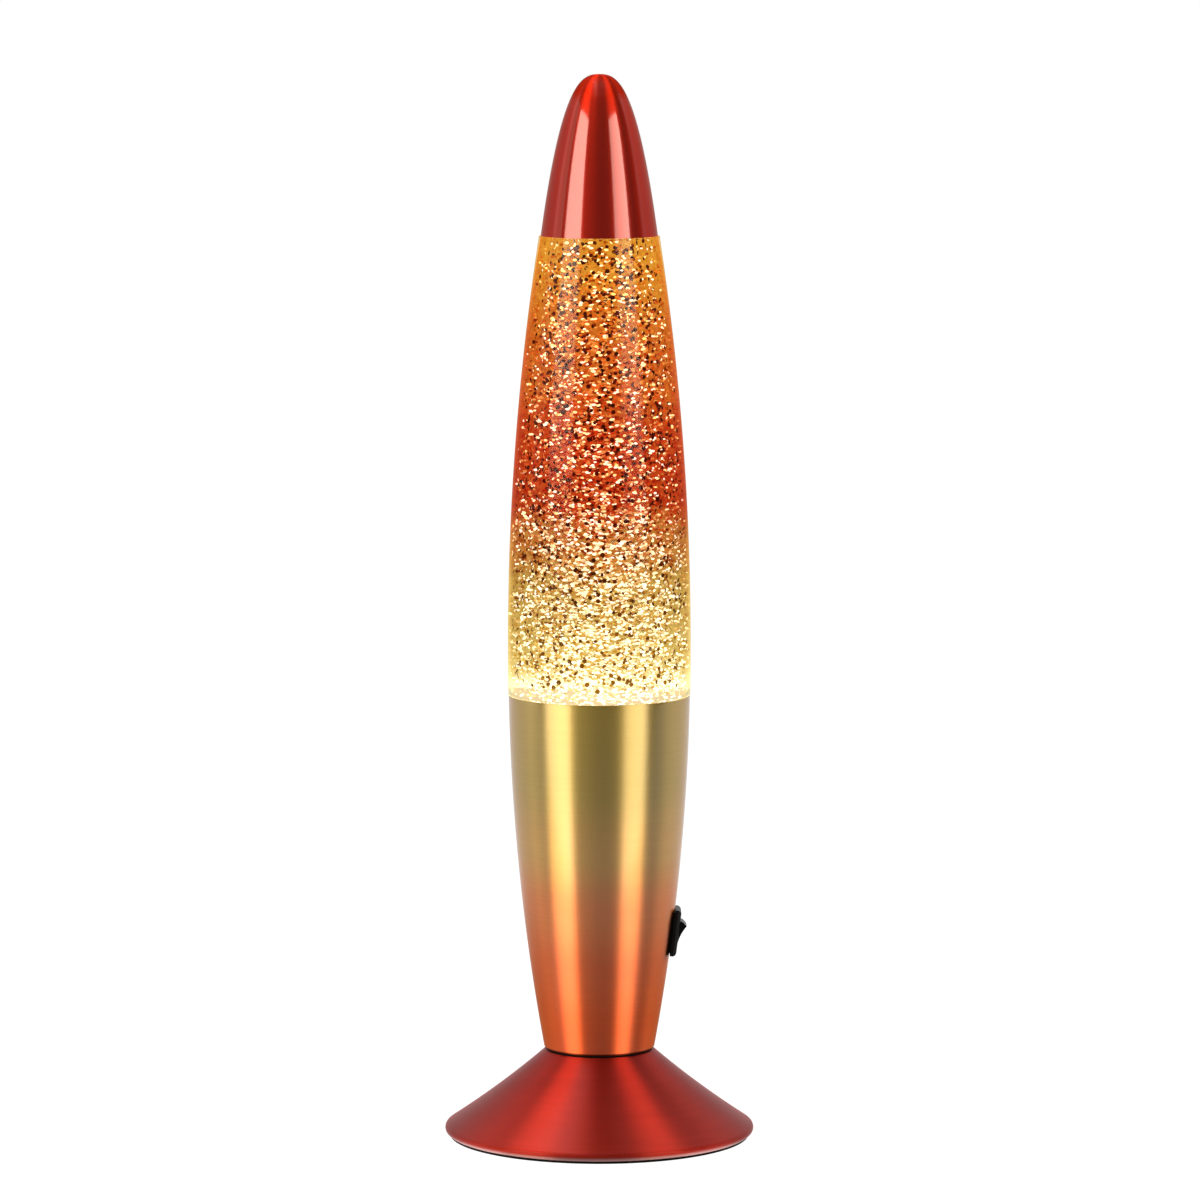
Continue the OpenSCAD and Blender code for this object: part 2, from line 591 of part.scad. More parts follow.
// Paddle: hollow face from a high upper tip to a lower one, ends rounded about the hinge, stubs and a bored stem
module switch_paddle() {
    upper = 41;
    lower = 28;
    back = -22;
    face_sag = 0.43;
    p = paddle_reach * [sin(upper), cos(upper)];
    q = paddle_reach * [sin(lower), -cos(lower)];
    face_r = (pow(norm(p - q) / 2, 2) + pow(face_sag, 2)) / (2 * face_sag);
    face_c = bulge_centre(p, q, face_r);
    color("#1c1c1c") at_hinge() difference() {
        union() {
            across(paddle_w) polygon(concat(
                arc([0, 0], paddle_reach, 90 - back, 90 - upper, 8),
                arc(face_c, face_r, angle_to(face_c, p), angle_to(face_c, q) + 360, 14, 1),
                arc([0, 0], paddle_reach, lower - 90, back - 90, 8, 1)));
            rotate([90, 0, 0]) cylinder(r = stub_r, h = paddle_w + 2 * stub_l, center = true);
            translate([-stem_l, -stem_w / 2, -stem_v / 2]) cube([stem_l, stem_w, stem_v]);
        }
        translate([-stem_l - 1, 0, 0]) rotate([0, 90, 0]) cylinder(r = plunger_r + running_gap, h = stem_l + 0.4);
    }
}

// Coil spring in the stem's bore
module paddle_spring() {
    turns = 4;
    z0 = -0.85;
    z1 = -plunger_reach + plunger_l + 0.25;
    color("#b0b0aa") at_hinge() wire([for (i = [0:turns * 10]) let (a = 36 * i)
        [z0 + (z1 - z0) * i / (turns * 10), 0.6 * cos(a), 0.6 * sin(a)]], 0.14, [1, 0, 0], 6);
}

// Round-nosed plunger that the spring pushes on to the bridge
module paddle_plunger() color("#d8d2c0") at_hinge() translate([-plunger_reach, 0, 0]) rotate([0, 90, 0])
    rotate_extrude() polygon(concat([[0, plunger_l]], [[plunger_r, plunger_l]],
        arc([0, plunger_r], plunger_r, 0, -90, 8)));

// See-saw contact on the middle tag's pin
module contact_bridge() color("#c9b06a") at_bridge() difference() {
    union() {
        translate([0.3, -bridge_w / 2, -bridge_l / 2]) cube([bridge_t, bridge_w, bridge_l]);
        translate([0.3 - rivet_h, 0, rivet_v]) rotate([0, 90, 0]) cylinder(r = rivet_r, h = rivet_h + 0.1);
        intersection() {
            rotate([90, 0, 0]) cylinder(r = 1.1, h = bridge_w, center = true);
            translate([-0.1, -2, -2]) cube([0.1 + 0.3 + bridge_t, 4, 4]);
        }
    }
    rotate([90, 0, 0]) cylinder(r = bridge_pin_r + running_gap, h = bridge_w + 2, center = true);
}

module at_bulb() translate([0, 0, bulb_z]) children();

// Solder dome on the bulb's end
module bulb_contact() color("#b8b8b8") at_bulb() rotate_extrude() polygon(concat(
    arc([0, 2.4], 2.4, -90, -30, 6), [[0, bulb_contact_h]]));

// Black glass insulator between the contact and the screw cap
module bulb_insulator() color("#1a1a1a") at_bulb() translate([0, 0, bulb_contact_h])
    cylinder(r1 = 3, r2 = bulb_cap_r - 0.6, h = bulb_insulator_h);

// Screw cap, closed at its end on the insulator and open to the neck
module bulb_screw_cap() color("#c9b877") at_bulb() translate([0, 0, bulb_shell_l]) difference() {
    cylinder(r = bulb_cap_r, h = bulb_cap_l);
    translate([0, 0, 0.35]) cylinder(r = bulb_neck_r + running_gap, h = bulb_cap_l);
}

// Outline of the bulb's glass, drawn in by g: neck, reflector and dome
function bulb_outline(g) = concat(
    [[bulb_neck_r - g, bulb_neck_l], [bulb_neck_r - g, bulb_flare_l - 6]],
    [for (i = [0:10]) let (t = i / 10)
        [sqrt(pow(bulb_neck_r + 0.9, 2) + (pow(bulb_r, 2) - pow(bulb_neck_r + 0.9, 2)) * t) - g,
         bulb_flare_l + (bulb_wide_l - bulb_flare_l) * t]],
    [for (i = [1:12]) [(bulb_r - g) * cos(7.5 * i), bulb_wide_l + (bulb_dome_h - g) * sin(7.5 * i)]]);

// Blown glass reflector envelope
module bulb_envelope() color("#f3efe2") at_bulb() rotate_extrude()
    polygon(concat(bulb_outline(0), reversed(bulb_outline(bulb_glass_t))));

// Glass stem that carries the filament's wires
module bulb_stem() color("#dfe6e4") at_bulb() rotate_extrude() polygon([
    [0, bulb_neck_l], [bulb_neck_r - bulb_glass_t - 0.1, bulb_neck_l],
    [bulb_neck_r - bulb_glass_t - 0.1, bulb_neck_l + 0.8], [2.4, bulb_neck_l + 5], [2.4, stem_top_l], [0, stem_top_l]
]);

// Bent filament, its two support wires, which stand on the stem and then splay, and the beads that join them
module bulb_filament() color("#6f6a60") at_bulb() {
    for (s = [-1, 1]) {
        bend = [s * support_foot_r, 0, stem_top_l + support_rise];
        translate([bend[0], 0, stem_top_l]) cylinder(r = support_r, h = support_rise);
        translate(bend) sphere(r = support_r + 0.1);
        rod(bend, [s * filament_r, 0, filament_l], support_r);
        translate([s * filament_r, 0, filament_l]) sphere(r = 0.6);
    }
    translate([0, 0, filament_l]) rotate_extrude(angle = 180) translate([filament_r, 0]) circle(r = 0.25);
}

// Blown bottle: punted floor, skirt in the body, ledge on its rim, long bulging wall, shoulder and neck
module bottle_glass() {
    skirt_arc_r = body_arc_r - body_t - skirt_gap;
    skirt_c = touch(body_c, skirt_arc_r, skirt_round, bottle_z + skirt_round);
    skirt_a = angle_to(body_c, skirt_c);
    shoulder_a = angle_to(bottle_c, shoulder_c);
    punt_arc_r = (punt_r * punt_r + punt_h * punt_h) / (2 * punt_h);
    punt_c = [0, bottle_z + punt_h - punt_arc_r];
    color("#f2a54a", 0.4) rotate_extrude() polygon(concat(
        arc(punt_c, punt_arc_r, 90, 90 - asin(punt_r / punt_arc_r), 8),
        arc(skirt_c, skirt_round, -90, skirt_a, 5),
        arc(body_c, skirt_arc_r, skirt_a, body_angle(skirt_arc_r, seam_z), 6, 1),
        arc(bottle_c, bottle_arc_r, angle_to(bottle_c, [seam_r, seam_z]), shoulder_a, 32),
        arc(shoulder_c, shoulder_round, shoulder_a, 90, 5, 1),
        arc([neck_r + neck_root_r, shoulder_z + neck_root_r], neck_root_r, -90, -180, 5),
        [[neck_r, neck_z]],
        reversed(bore_outline(0, neck_z))));
}

// Clear tinted liquid, filled up into the neck
module liquid() color("#f0902a", 0.3) rotate_extrude()
    polygon(concat(bore_outline(fill_gap, shoulder_z + liquid_rise), [[0, shoulder_z + liquid_rise]]));

// Loose six-sided flakes hanging in the liquid, thicker towards the bottom
module glitter_flakes() {
    low = bore_z + 2 * flake_r + 0.5;
    high = bore_top_z - shoulder_inner_round;
    turn = rands(0, 180, 2 * flake_n, 11);
    color("#e8c25a") for (i = [0:flake_n - 1]) let (
        z = low + (high - low) * pow((i + 0.5) / flake_n, flake_gather),
        share = i * 0.7548777 - floor(i * 0.7548777))
        rotate([0, 0, 137.508 * i]) translate([flake_room(z) * sqrt(share), 0, z])
            rotate([turn[2 * i], turn[2 * i + 1], 0]) cylinder(r = flake_r, h = flake_t, center = true, $fn = 6);
}

// Soft seal: flange on the neck's lip and a plug in the bore
module neck_seal() color("#d9d4c6") {
    translate([0, 0, neck_z]) cylinder(r = neck_r - 0.2, h = seal_t);
    translate([0, 0, neck_z - seal_plug_h]) cylinder(r = neck_bore_r - fixing_gap, h = seal_plug_h + 0.5);
}

// Ribbed screw closure over the seal
module bottle_closure() color("#e6e6e2") difference() {
    union() {
        translate([0, 0, closure_z]) cylinder(r = closure_r, h = closure_h + closure_top_t);
        for (i = [0:closure_rib_n - 1]) rotate([0, 0, 360 * i / closure_rib_n])
            translate([closure_r, 0, closure_z + 0.8]) cylinder(r = closure_rib_r, h = closure_h - 0.6, $fn = 24);
    }
    translate([0, 0, closure_z - 1]) cylinder(r = closure_bore_r, h = closure_h + 1);
}

// Spun cap, open at its rim, which rests on the bottle's shoulder
module cap_shell() color("#a01a12") translate([0, 0, cap_z]) rotate_extrude()
    polygon(concat(nose(cap_rim_r, cap_h, 28), reversed(nose(cap_rim_r - cap_t, cap_h - cap_t, 28))));

// Soft ring glued in the cap that grips the closure
module cap_liner() color("#262626") translate([0, 0, cap_z]) rotate_extrude() polygon(concat(
    [[closure_r + closure_rib_r + 0.15, liner_rise]],
    [for (i = [0:4]) let (h = liner_rise + liner_h * i / 4) [cap_inner_r(h) - fixing_gap, h]],
    [[closure_r + closure_rib_r + 0.15, liner_rise + liner_h]]));

base_pad();
base_shell();
joint_gasket();
body_shell();
threaded_nipple();
spring_washer();
clamp_nut();
holder_bush();
holder_body();
holder_screw_shell();
holder_tongue();
holder_terminals();
terminal_screws();
switch_housing();
switch_terminals();
switch_lead();
cord_bush();
switch_paddle();
paddle_spring();
paddle_plunger();
contact_bridge();
bulb_contact();
bulb_insulator();
bulb_screw_cap();
bulb_envelope();
bulb_stem();
bulb_filament();
bottle_glass();
liquid();
glitter_flakes();
neck_seal();
bottle_closure();
cap_shell();
cap_liner();
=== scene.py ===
# %% [markdown]
# # A glitter lamp, dressed in Blender
# The lamp is a sealed glass bottle of loose glitter that stands in a spun aluminium body on a low red
# cone. Its construction comes in as a fixed frame of solids. This lesson gives every surface its finish
# and turns the large shells again as smooth meshes of the same size, so that their edges and highlights
# run without facets.

# %% Load the frame
import json
import math

import bmesh
import bpy
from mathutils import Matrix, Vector

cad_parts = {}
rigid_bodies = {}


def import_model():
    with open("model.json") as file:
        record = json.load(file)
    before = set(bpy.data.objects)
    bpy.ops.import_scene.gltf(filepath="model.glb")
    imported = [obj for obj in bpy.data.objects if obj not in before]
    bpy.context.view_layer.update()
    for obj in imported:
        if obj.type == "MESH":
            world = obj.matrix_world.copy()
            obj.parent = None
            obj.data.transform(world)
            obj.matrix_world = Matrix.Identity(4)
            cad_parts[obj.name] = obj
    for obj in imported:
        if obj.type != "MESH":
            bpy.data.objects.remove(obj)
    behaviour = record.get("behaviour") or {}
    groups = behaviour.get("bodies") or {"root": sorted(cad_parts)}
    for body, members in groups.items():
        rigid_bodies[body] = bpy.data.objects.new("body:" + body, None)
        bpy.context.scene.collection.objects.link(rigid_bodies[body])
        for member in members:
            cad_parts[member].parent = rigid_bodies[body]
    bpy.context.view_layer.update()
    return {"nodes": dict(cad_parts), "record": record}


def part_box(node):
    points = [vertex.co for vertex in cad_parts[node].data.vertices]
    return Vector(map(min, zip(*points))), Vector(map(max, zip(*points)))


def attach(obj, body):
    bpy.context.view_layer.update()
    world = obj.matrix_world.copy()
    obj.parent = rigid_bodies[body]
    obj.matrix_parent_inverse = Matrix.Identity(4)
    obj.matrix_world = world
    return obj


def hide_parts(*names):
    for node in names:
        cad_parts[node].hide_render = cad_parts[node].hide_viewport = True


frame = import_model()
MM = 0.001

# %% [markdown]
# ## The camera
# The photograph was taken with a long lens from a little above the middle of the lamp, so the upright
# edges stay parallel. A pinhole camera of the same angle and distance, aimed at the lamp's axis, gives
# that picture without any lens shift.

# %% Camera
PICTURE_SIDE = 1200
FOCAL_PIXELS = 6000
SENSOR = 36.0
CAMERA_RISE = math.radians(6.5)
CAMERA_DISTANCE = 1.9131
CLIP_START = 0.05
aim = Vector((0.22 * MM, 0, 172.87 * MM))


def put(name, data):
    """A new object in the scene."""
    made = bpy.data.objects.new(name, data)
    bpy.context.scene.collection.objects.link(made)
    return made


camera = put("camera", bpy.data.cameras.new("camera"))
camera.data.sensor_width = SENSOR
camera.data.lens = SENSOR * FOCAL_PIXELS / PICTURE_SIDE
camera.data.clip_start = CLIP_START
camera.location = aim + CAMERA_DISTANCE * Vector((0, -math.cos(CAMERA_RISE), math.sin(CAMERA_RISE)))
camera.rotation_euler = (aim - camera.location).to_track_quat("-Z", "Y").to_euler()
bpy.context.scene.camera = camera
bpy.context.scene.view_settings.view_transform = "Standard"
print("camera: lens", round(camera.data.lens), "mm at", round(CAMERA_DISTANCE, 2), "m")

# %% [markdown]
# ## Helpers for node trees
# Every finish below is a small tree of nodes. A few helpers keep those trees readable: they fill a node's
# inputs, add a node, do one step of arithmetic, mix two levels or two colours, make a ramp, and open a
# material or an empty node group with named sockets.

# %% Node helpers
FLOAT = "NodeSocketFloat"
INTEGER = "NodeSocketInt"
GEOMETRY = "NodeSocketGeometry"
MATERIAL = "NodeSocketMaterial"


def fill(tree, node, inputs):
    """Fill a node's inputs; each takes a plain value or another node's output."""
    for key, value in inputs.items():
        if isinstance(value, bpy.types.NodeSocket):
            tree.links.new(value, node.inputs[key])
        else:
            node.inputs[key].default_value = value


def add(tree, kind, inputs=None, **settings):
    """Add a node with its settings and inputs."""
    made = tree.nodes.new(kind)
    for key, value in settings.items():
        setattr(made, key, value)
    fill(tree, made, inputs or {})
    return made


def calc(tree, operation, a, b=0.0, clamp=False):
    """One step of arithmetic; returns its output."""
    return add(tree, "ShaderNodeMath", {0: a, 1: b}, operation=operation, use_clamp=clamp).outputs[0]


def remap(tree, value, low, high, to_low=0.0, to_high=1.0):
    """Carry the range from low to high over to another range, held at its ends; returns the result."""
    made = add(tree, "ShaderNodeMapRange", {
        "Value": value, "From Min": low, "From Max": high, "To Min": to_low, "To Max": to_high})
    return made.outputs[0]


def mix(tree, share, first, second):
    """Mix two plain levels; returns the mixed level."""
    return add(tree, "ShaderNodeMix", {0: share, 2: first, 3: second}).outputs[0]


def blend(tree, share, first, second, mode="MIX"):
    """Mix two colours; returns the mixed colour."""
    made = add(tree, "ShaderNodeMix", {0: share, 6: first, 7: second}, data_type="RGBA", blend_type=mode)
    return made.outputs[2]


def ramp(tree, place, stops, smooth=True):
    """A colour ramp through stops of (place, colour); returns its colour output."""
    made = add(tree, "ShaderNodeValToRGB", {"Fac": place})
    made.color_ramp.interpolation = "EASE" if smooth else "LINEAR"
    points = made.color_ramp.elements
    while len(points) < len(stops):
        points.new(0.5)
    for point, (where, colour) in zip(points, stops):
        point.position = where
        point.color = (*colour, 1)
    return made.outputs["Color"]


def levels(tree, place, stops):
    """A smooth grey ramp through stops of (place, level); returns its output."""
    return ramp(tree, place, [(where, (level,) * 3) for where, level in stops])


def open_group(name, kind, inputs, outputs):
    """A node group with named sockets; returns it with its input and output nodes' sockets."""
    group = bpy.data.node_groups.new(name, kind)
    for label, socket, value in inputs:
        made = group.interface.new_socket(label, in_out="INPUT", socket_type=socket)
        if value is not None:
            made.default_value = value
    for label, socket in outputs:
        group.interface.new_socket(label, in_out="OUTPUT", socket_type=socket)
    return group, group.nodes.new("NodeGroupInput").outputs, group.nodes.new("NodeGroupOutput").inputs


def new_material(name):
    """A material with its Principled shader; returns both."""
    material = bpy.data.materials.new(name)
    material.use_nodes = True
    return material, material.node_tree.nodes["Principled BSDF"]


print("helpers: nodes, ramps, groups and materials")

# %% [markdown]
# ## The room
# The lamp stood in front of a white backdrop, and the room behind the camera was dim. The metal mirrors
# all of it, so the world has a level for each direction: dim in front and brighter low down there, white
# behind and brighter high up, with a bright ceiling that has a brighter strip on the left. Sharp mirror
# images in the glass see a dim room, so that the glitter shows through them. Rays that come straight from
# the camera, or through the glass, see plain white.

# %% World
BACKDROP = 0.75
HIGH_BACKDROP = 1.35
DIM_FRONT = 0.045
LOW_FRONT = 0.9
CEILING = 1.55
CEILING_LEFT = 3.6
ROOM_LIGHT = 0.4
IN_GLASS = 0.15
PLAIN_WHITE = 1.0

# Each pair is the range of a direction's X, Y or Z over which one level goes over into the next.
TO_BEHIND = (0.05, 0.2)
TO_LOW = (-0.15, -0.45)
TO_HIGH = (0.3, 0.55)
TO_CEILING = (0.75, 0.95)
CEILING_STRIP = [(0.30, 0.0), (0.36, 1.0), (0.41, 1.0), (0.455, 0.0)]

world = bpy.data.worlds.new("studio")
bpy.context.scene.world = world
world.use_nodes = True
tree = world.node_tree
rays = add(tree, "ShaderNodeLightPath").outputs
way = add(tree, "ShaderNodeTexCoord").outputs["Generated"]
way = add(tree, "ShaderNodeSeparateXYZ", {0: way}).outputs
front = remap(tree, way["Z"], *TO_LOW, DIM_FRONT, LOW_FRONT)
back = remap(tree, way["Z"], *TO_HIGH, BACKDROP, HIGH_BACKDROP)
wall = mix(tree, remap(tree, way["Y"], *TO_BEHIND), front, back)
strip = levels(tree, remap(tree, way["X"], -1.0, 1.0), CEILING_STRIP)
ceiling = remap(tree, strip, 0.0, 1.0, CEILING, CEILING + CEILING_LEFT)
room = mix(tree, remap(tree, way["Z"], *TO_CEILING), wall, ceiling)
room = mix(tree, rays["Is Singular Ray"], room, IN_GLASS)
lit = mix(tree, rays["Is Glossy Ray"], ROOM_LIGHT, room)
seen = calc(tree, "MAXIMUM", rays["Is Camera Ray"], rays["Is Transmission Ray"])
level = mix(tree, seen, lit, PLAIN_WHITE)
fill(tree, tree.nodes["Background"], {"Color": (1, 1, 1, 1), "Strength": level})
print("world: backdrop", BACKDROP, "dim front", DIM_FRONT, "ceiling", CEILING)

# %% [markdown]
# ## The soft boxes
# Two tall soft boxes stood one on each side of the camera. Their mirror images are the bright upright
# bands on the metal, so the turn of a box sets where its band runs, and its width how wide the band is. A
# weak third box far to the left lifts the left side. Rays that have gone through the glass don't see the
# boxes, which would show as stripes along the bottle's edges in other views.

# %% Soft boxes
LIGHT_COLOUR = (1.0, 0.95, 0.80)
LIGHT_DISTANCE = 1.0
LIGHT_HEIGHT = 1.36
LIGHT_MIDDLE = 0.23


def soft_box(name, turn, width, radiance, fade):
    """A tall lamp, turn degrees round from the camera, that dims by the share fade towards one edge."""
    data = bpy.data.lights.new(name, "AREA")
    data.shape = "RECTANGLE"
    data.color = LIGHT_COLOUR
    data.size = width
    data.size_y = LIGHT_HEIGHT
    data.energy = radiance * math.pi * width * LIGHT_HEIGHT
    data.use_nodes = True
    tree = data.node_tree
    spot = add(tree, "ShaderNodeNewGeometry").outputs["Parametric"]
    across = add(tree, "ShaderNodeSeparateXYZ", {0: spot}).outputs["X"]
    fill(tree, tree.nodes["Emission"], {"Strength": remap(tree, across, 0.0, 1.0, 1 - fade, 1.0)})
    lamp = put(name, data)
    around = math.radians(turn)
    lamp.location = (LIGHT_DISTANCE * math.sin(around), -LIGHT_DISTANCE * math.cos(around), LIGHT_MIDDLE)
    lamp.rotation_euler = (aim - lamp.location).to_track_quat("-Z", "Y").to_euler()
    lamp.visible_transmission = False
    print("soft box:", name, width, "m wide at", turn, "degrees")


soft_box("left_soft_box", turn=-54.5, width=0.63, radiance=4.5, fade=0.1)
soft_box("right_soft_box", turn=47, width=0.56, radiance=4.5, fade=0.5)
soft_box("left_fill", turn=-92, width=0.4, radiance=0.6, fade=0.0)

# %% [markdown]
# ## The floor
# The floor is white paper. A share of it is plain paper that keeps the lamp's soft shadow, and the rest
# glows, which brings it up to the photograph's white. What the metal mirrors of it is set apart: glossy
# rays see a level that changes with the distance from the lamp, and near the foot a gleam in the
# directions of the two soft boxes. Sharp mirror images in the glass see it as dim as the room.

# %% Floor
FLOOR_SIZE = 12.0
FLOOR_FRONT = 0.2

half = FLOOR_SIZE / 2
corners = [(-half, -FLOOR_FRONT, 0), (half, -FLOOR_FRONT, 0), (half, half, 0), (-half, half, 0)]
floor_mesh = bpy.data.meshes.new("floor")
floor_mesh.from_pydata(corners, [], [(0, 1, 2, 3)])
floor = put("floor", floor_mesh)
print("floor:", FLOOR_SIZE, "m wide")

# %% Paper
PAPER_WHITE = (0.9, 0.9, 0.9, 1)
PAPER_ROUGHNESS = 0.9
PAPER_SHARE = 0.22
FLOOR_GLOW = 0.95
GLEAM = 1.8

# The levels that metal mirrors go by metres from the axis, and the gleam by shares of a turn from behind.
MIRRORED = [(0.075, 0.8), (0.085, 0.45), (0.15, 0.45), (0.5, 0.9)]
GLEAM_ENDS = (0.12, 0.25)
GLEAM_TURNS = [(0.24, 0.0), (0.35, 1.0), (0.38, 1.0), (0.40, 0.06),
               (0.58, 0.06), (0.61, 1.0), (0.63, 1.0), (0.72, 0.0)]

paper, shader = new_material("white_paper")
tree = paper.node_tree
fill(tree, shader, {"Base Color": PAPER_WHITE, "Roughness": PAPER_ROUGHNESS, "Specular IOR Level": 0.0})
rays = add(tree, "ShaderNodeLightPath").outputs
spot = add(tree, "ShaderNodeTexCoord").outputs["Object"]
away = add(tree, "ShaderNodeVectorMath", {0: spot}, operation="LENGTH").outputs["Value"]
flat = add(tree, "ShaderNodeSeparateXYZ", {0: spot}).outputs
turn = calc(tree, "ARCTAN2", flat["X"], calc(tree, "MULTIPLY", flat["Y"], -1.0))
gleam = levels(tree, remap(tree, turn, -math.pi, math.pi), GLEAM_TURNS)
near = remap(tree, away, *GLEAM_ENDS, GLEAM, 0.0)
mirrored = calc(tree, "ADD", levels(tree, away, MIRRORED), calc(tree, "MULTIPLY", gleam, near))

# Rays through the glass count as singular too, so they are taken off to leave the sharp mirror images.
sharp = calc(tree, "SUBTRACT", rays["Is Singular Ray"], rays["Is Transmission Ray"], clamp=True)
mirrored = mix(tree, sharp, mirrored, IN_GLASS)
glossy = rays["Is Glossy Ray"]
seen = calc(tree, "MAXIMUM", rays["Is Camera Ray"], rays["Is Transmission Ray"])
share = calc(tree, "MAXIMUM", calc(tree, "MULTIPLY", seen, 1 - PAPER_SHARE), glossy)
level = mix(tree, glossy, FLOOR_GLOW / (1 - PAPER_SHARE), mirrored)
glow = add(tree, "ShaderNodeEmission", {"Strength": level})
mixed = add(tree, "ShaderNodeMixShader", {0: share, 1: shader.outputs[0], 2: glow.outputs[0]})
fill(tree, tree.nodes["Material Output"], {"Surface": mixed.outputs[0]})
floor_mesh.materials.append(paper)
print("paper: share", PAPER_SHARE, "and glow", FLOOR_GLOW)

# %% [markdown]
# ## Turning a shell
# The base, body and bottle were spun or blown round one axis, so each is an outline turned about that
# axis. An outline here is a closed loop of points (radius, height). The long sides are arcs of very large
# circles, which is what gives the lamp its gentle bulge.


# %% Outline helpers
def arc(centre, radius, start, end, steps):
    """Points on an arc between two angles in degrees."""
    turns = [math.radians(start + (end - start) * i / steps) for i in range(steps + 1)]
    return [(centre[0] + radius * math.cos(a), centre[1] + radius * math.sin(a)) for a in turns]


def bulge(low, high, radius):
    """Centre of the circle through two points that swells away from the axis."""
    dx = high[0] - low[0]
    dz = high[1] - low[1]
    chord = math.hypot(dx, dz)
    reach = math.sqrt(radius**2 - chord**2 / 4)
    return (low[0] + high[0]) / 2 - dz / chord * reach, (low[1] + high[1]) / 2 + dx / chord * reach


def angle_at(centre, point):
    """Direction from a centre to a point, in degrees."""
    return math.degrees(math.atan2(point[1] - centre[1], point[0] - centre[0]))


def angle_up(centre, radius, height):
    """Direction in which an arc reaches a height, in degrees."""
    return math.degrees(math.asin((height - centre[1]) / radius))


def rounding(centre, radius, fillet, height):
    """Centre of a small rounding that touches the inside of a long arc."""
    inner = radius - fillet
    return centre[0] + math.sqrt(inner**2 - (height - centre[1]) ** 2), height


def hollow(first, first_r, second, second_r, radius):
    """Centre of a hollow arc that touches two circles on their outer side."""
    dx = second[0] - first[0]
    dz = second[1] - first[1]
    span = math.hypot(dx, dz)
    reach = radius + first_r
    along = (reach**2 - (radius + second_r) ** 2 + span**2) / (2 * span)
    out = math.sqrt(reach**2 - along**2)
    return first[0] + (along * dx - out * dz) / span, first[1] + (along * dz + out * dx) / span


print("outline helpers: arcs, bulges, roundings and hollows")

# %% [markdown]
# Each outline becomes a mesh by one function, which turns it about the axis, closes it where it meets the
# axis, and points its faces outwards. A second one puts a finished mesh in the scene, on the body that it
# moves with and in the place of the solid that it stands for.

# %% Mesh helpers
CREASE = math.radians(35)
ON_AXIS = 1e-7
METAL_STEPS = 288
GLASS_STEPS = 240


def lathe(name, outline, steps, inner_from=None):
    """Turn a closed outline about the axis; faces from point inner_from on get the second material."""
    bm = bmesh.new()
    turns = [2 * math.pi * i / steps for i in range(steps)]
    rings = []
    for r, z in outline:
        spread = turns if r > ON_AXIS else [0.0]
        rings.append([bm.verts.new((r * math.cos(a), r * math.sin(a), z)) for a in spread])
    for k, (low, high) in enumerate(zip(rings, rings[1:] + rings[:1])):
        for i in range(steps):
            j = (i + 1) % steps
            corners = [low[i % len(low)], low[j % len(low)], high[j % len(high)], high[i % len(high)]]
            corners = list(dict.fromkeys(corners))
            if len(corners) > 2:
                face = bm.faces.new(corners)
                face.smooth = True
                face.material_index = int(inner_from is not None and k >= inner_from)
    bmesh.ops.recalc_face_normals(bm, faces=bm.faces)
    mesh = bpy.data.meshes.new(name)
    bm.to_mesh(mesh)
    bm.free()
    mesh.set_sharp_from_angle(angle=CREASE)
    return mesh


def place(name, mesh, body, slot, *nodes):
    """Put a finished mesh in the scene, on its body, in the place of CAD nodes."""
    piece = put(name, mesh)
    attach(piece, body)
    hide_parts(*nodes)
    print("piece:", name, len(mesh.vertices), "points")
    return piece


print("mesh helpers:", METAL_STEPS, "steps round the metal,", GLASS_STEPS, "round the glass")

# %% [markdown]
# ## Brushed lines
# The base, body and cap were brushed while they turned, so hair-fine rings run round them. Noise that is
# drawn out round the axis and squeezed along it gives those rings. They are one shader group, placed in
# each of the three metals: the lines vary the colour a little and tilt the surface, and larger patches
# vary the roughness.

# %% Brushed group
RING_DRAW = 35

group, given, result = open_group(
    "brushed_rings", "ShaderNodeTree",
    [("Fineness", FLOAT, 2600.0), ("Patch Scale", FLOAT, 60.0)],
    [("Lines", FLOAT), ("Patches", FLOAT)])
spot = add(group, "ShaderNodeTexCoord").outputs["Object"]
part = add(group, "ShaderNodeSeparateXYZ", {0: spot}).outputs
squares = calc(group, "ADD", calc(group, "POWER", part["X"], 2), calc(group, "POWER", part["Y"], 2))
radius = calc(group, "SQRT", squares)
drawn = add(group, "ShaderNodeCombineXYZ", {
    0: calc(group, "MULTIPLY", part["X"], RING_DRAW),
    1: calc(group, "MULTIPLY", part["Y"], RING_DRAW),
    2: calc(group, "MULTIPLY", calc(group, "ADD", part["Z"], radius), given["Fineness"])}).outputs[0]
lines = add(group, "ShaderNodeTexNoise", {"Vector": drawn, "Scale": 1.0, "Detail": 3.0, "Roughness": 0.7})
patches = add(group, "ShaderNodeTexNoise", {"Vector": spot, "Scale": given["Patch Scale"], "Detail": 2.0})
group.links.new(lines.outputs["Fac"], result["Lines"])
group.links.new(patches.outputs["Fac"], result["Patches"])
brushed = group
print("group:", brushed.name)

# %% [markdown]
# Each metal is aluminium under coloured lacquer. The metal mirrors light mostly across its brushed lines,
# which anisotropy along the rings gives, and the lacquer over it is a clear coat with its own, sharper
# mirror image. Each metal sets how much of that coat it has.

# %% Lacquered metal
LINE_RANGE = (0.3, 0.7)
LINE_DEPTH = 0.01 * MM
PATCH_ROUGHNESS = 0.04
ACROSS_RINGS = 0.25


def use_group(tree, shared, **values):
    """Place a shared group in a material, with its own values where they differ."""
    made = add(tree, "ShaderNodeGroup", values, node_tree=shared)
    return made.outputs


def tilt(tree, height, strength, distance):
    """A bump from a height; returns the new normal."""
    made = add(tree, "ShaderNodeBump", {"Height": height, "Strength": strength, "Distance": distance})
    return made.outputs[0]


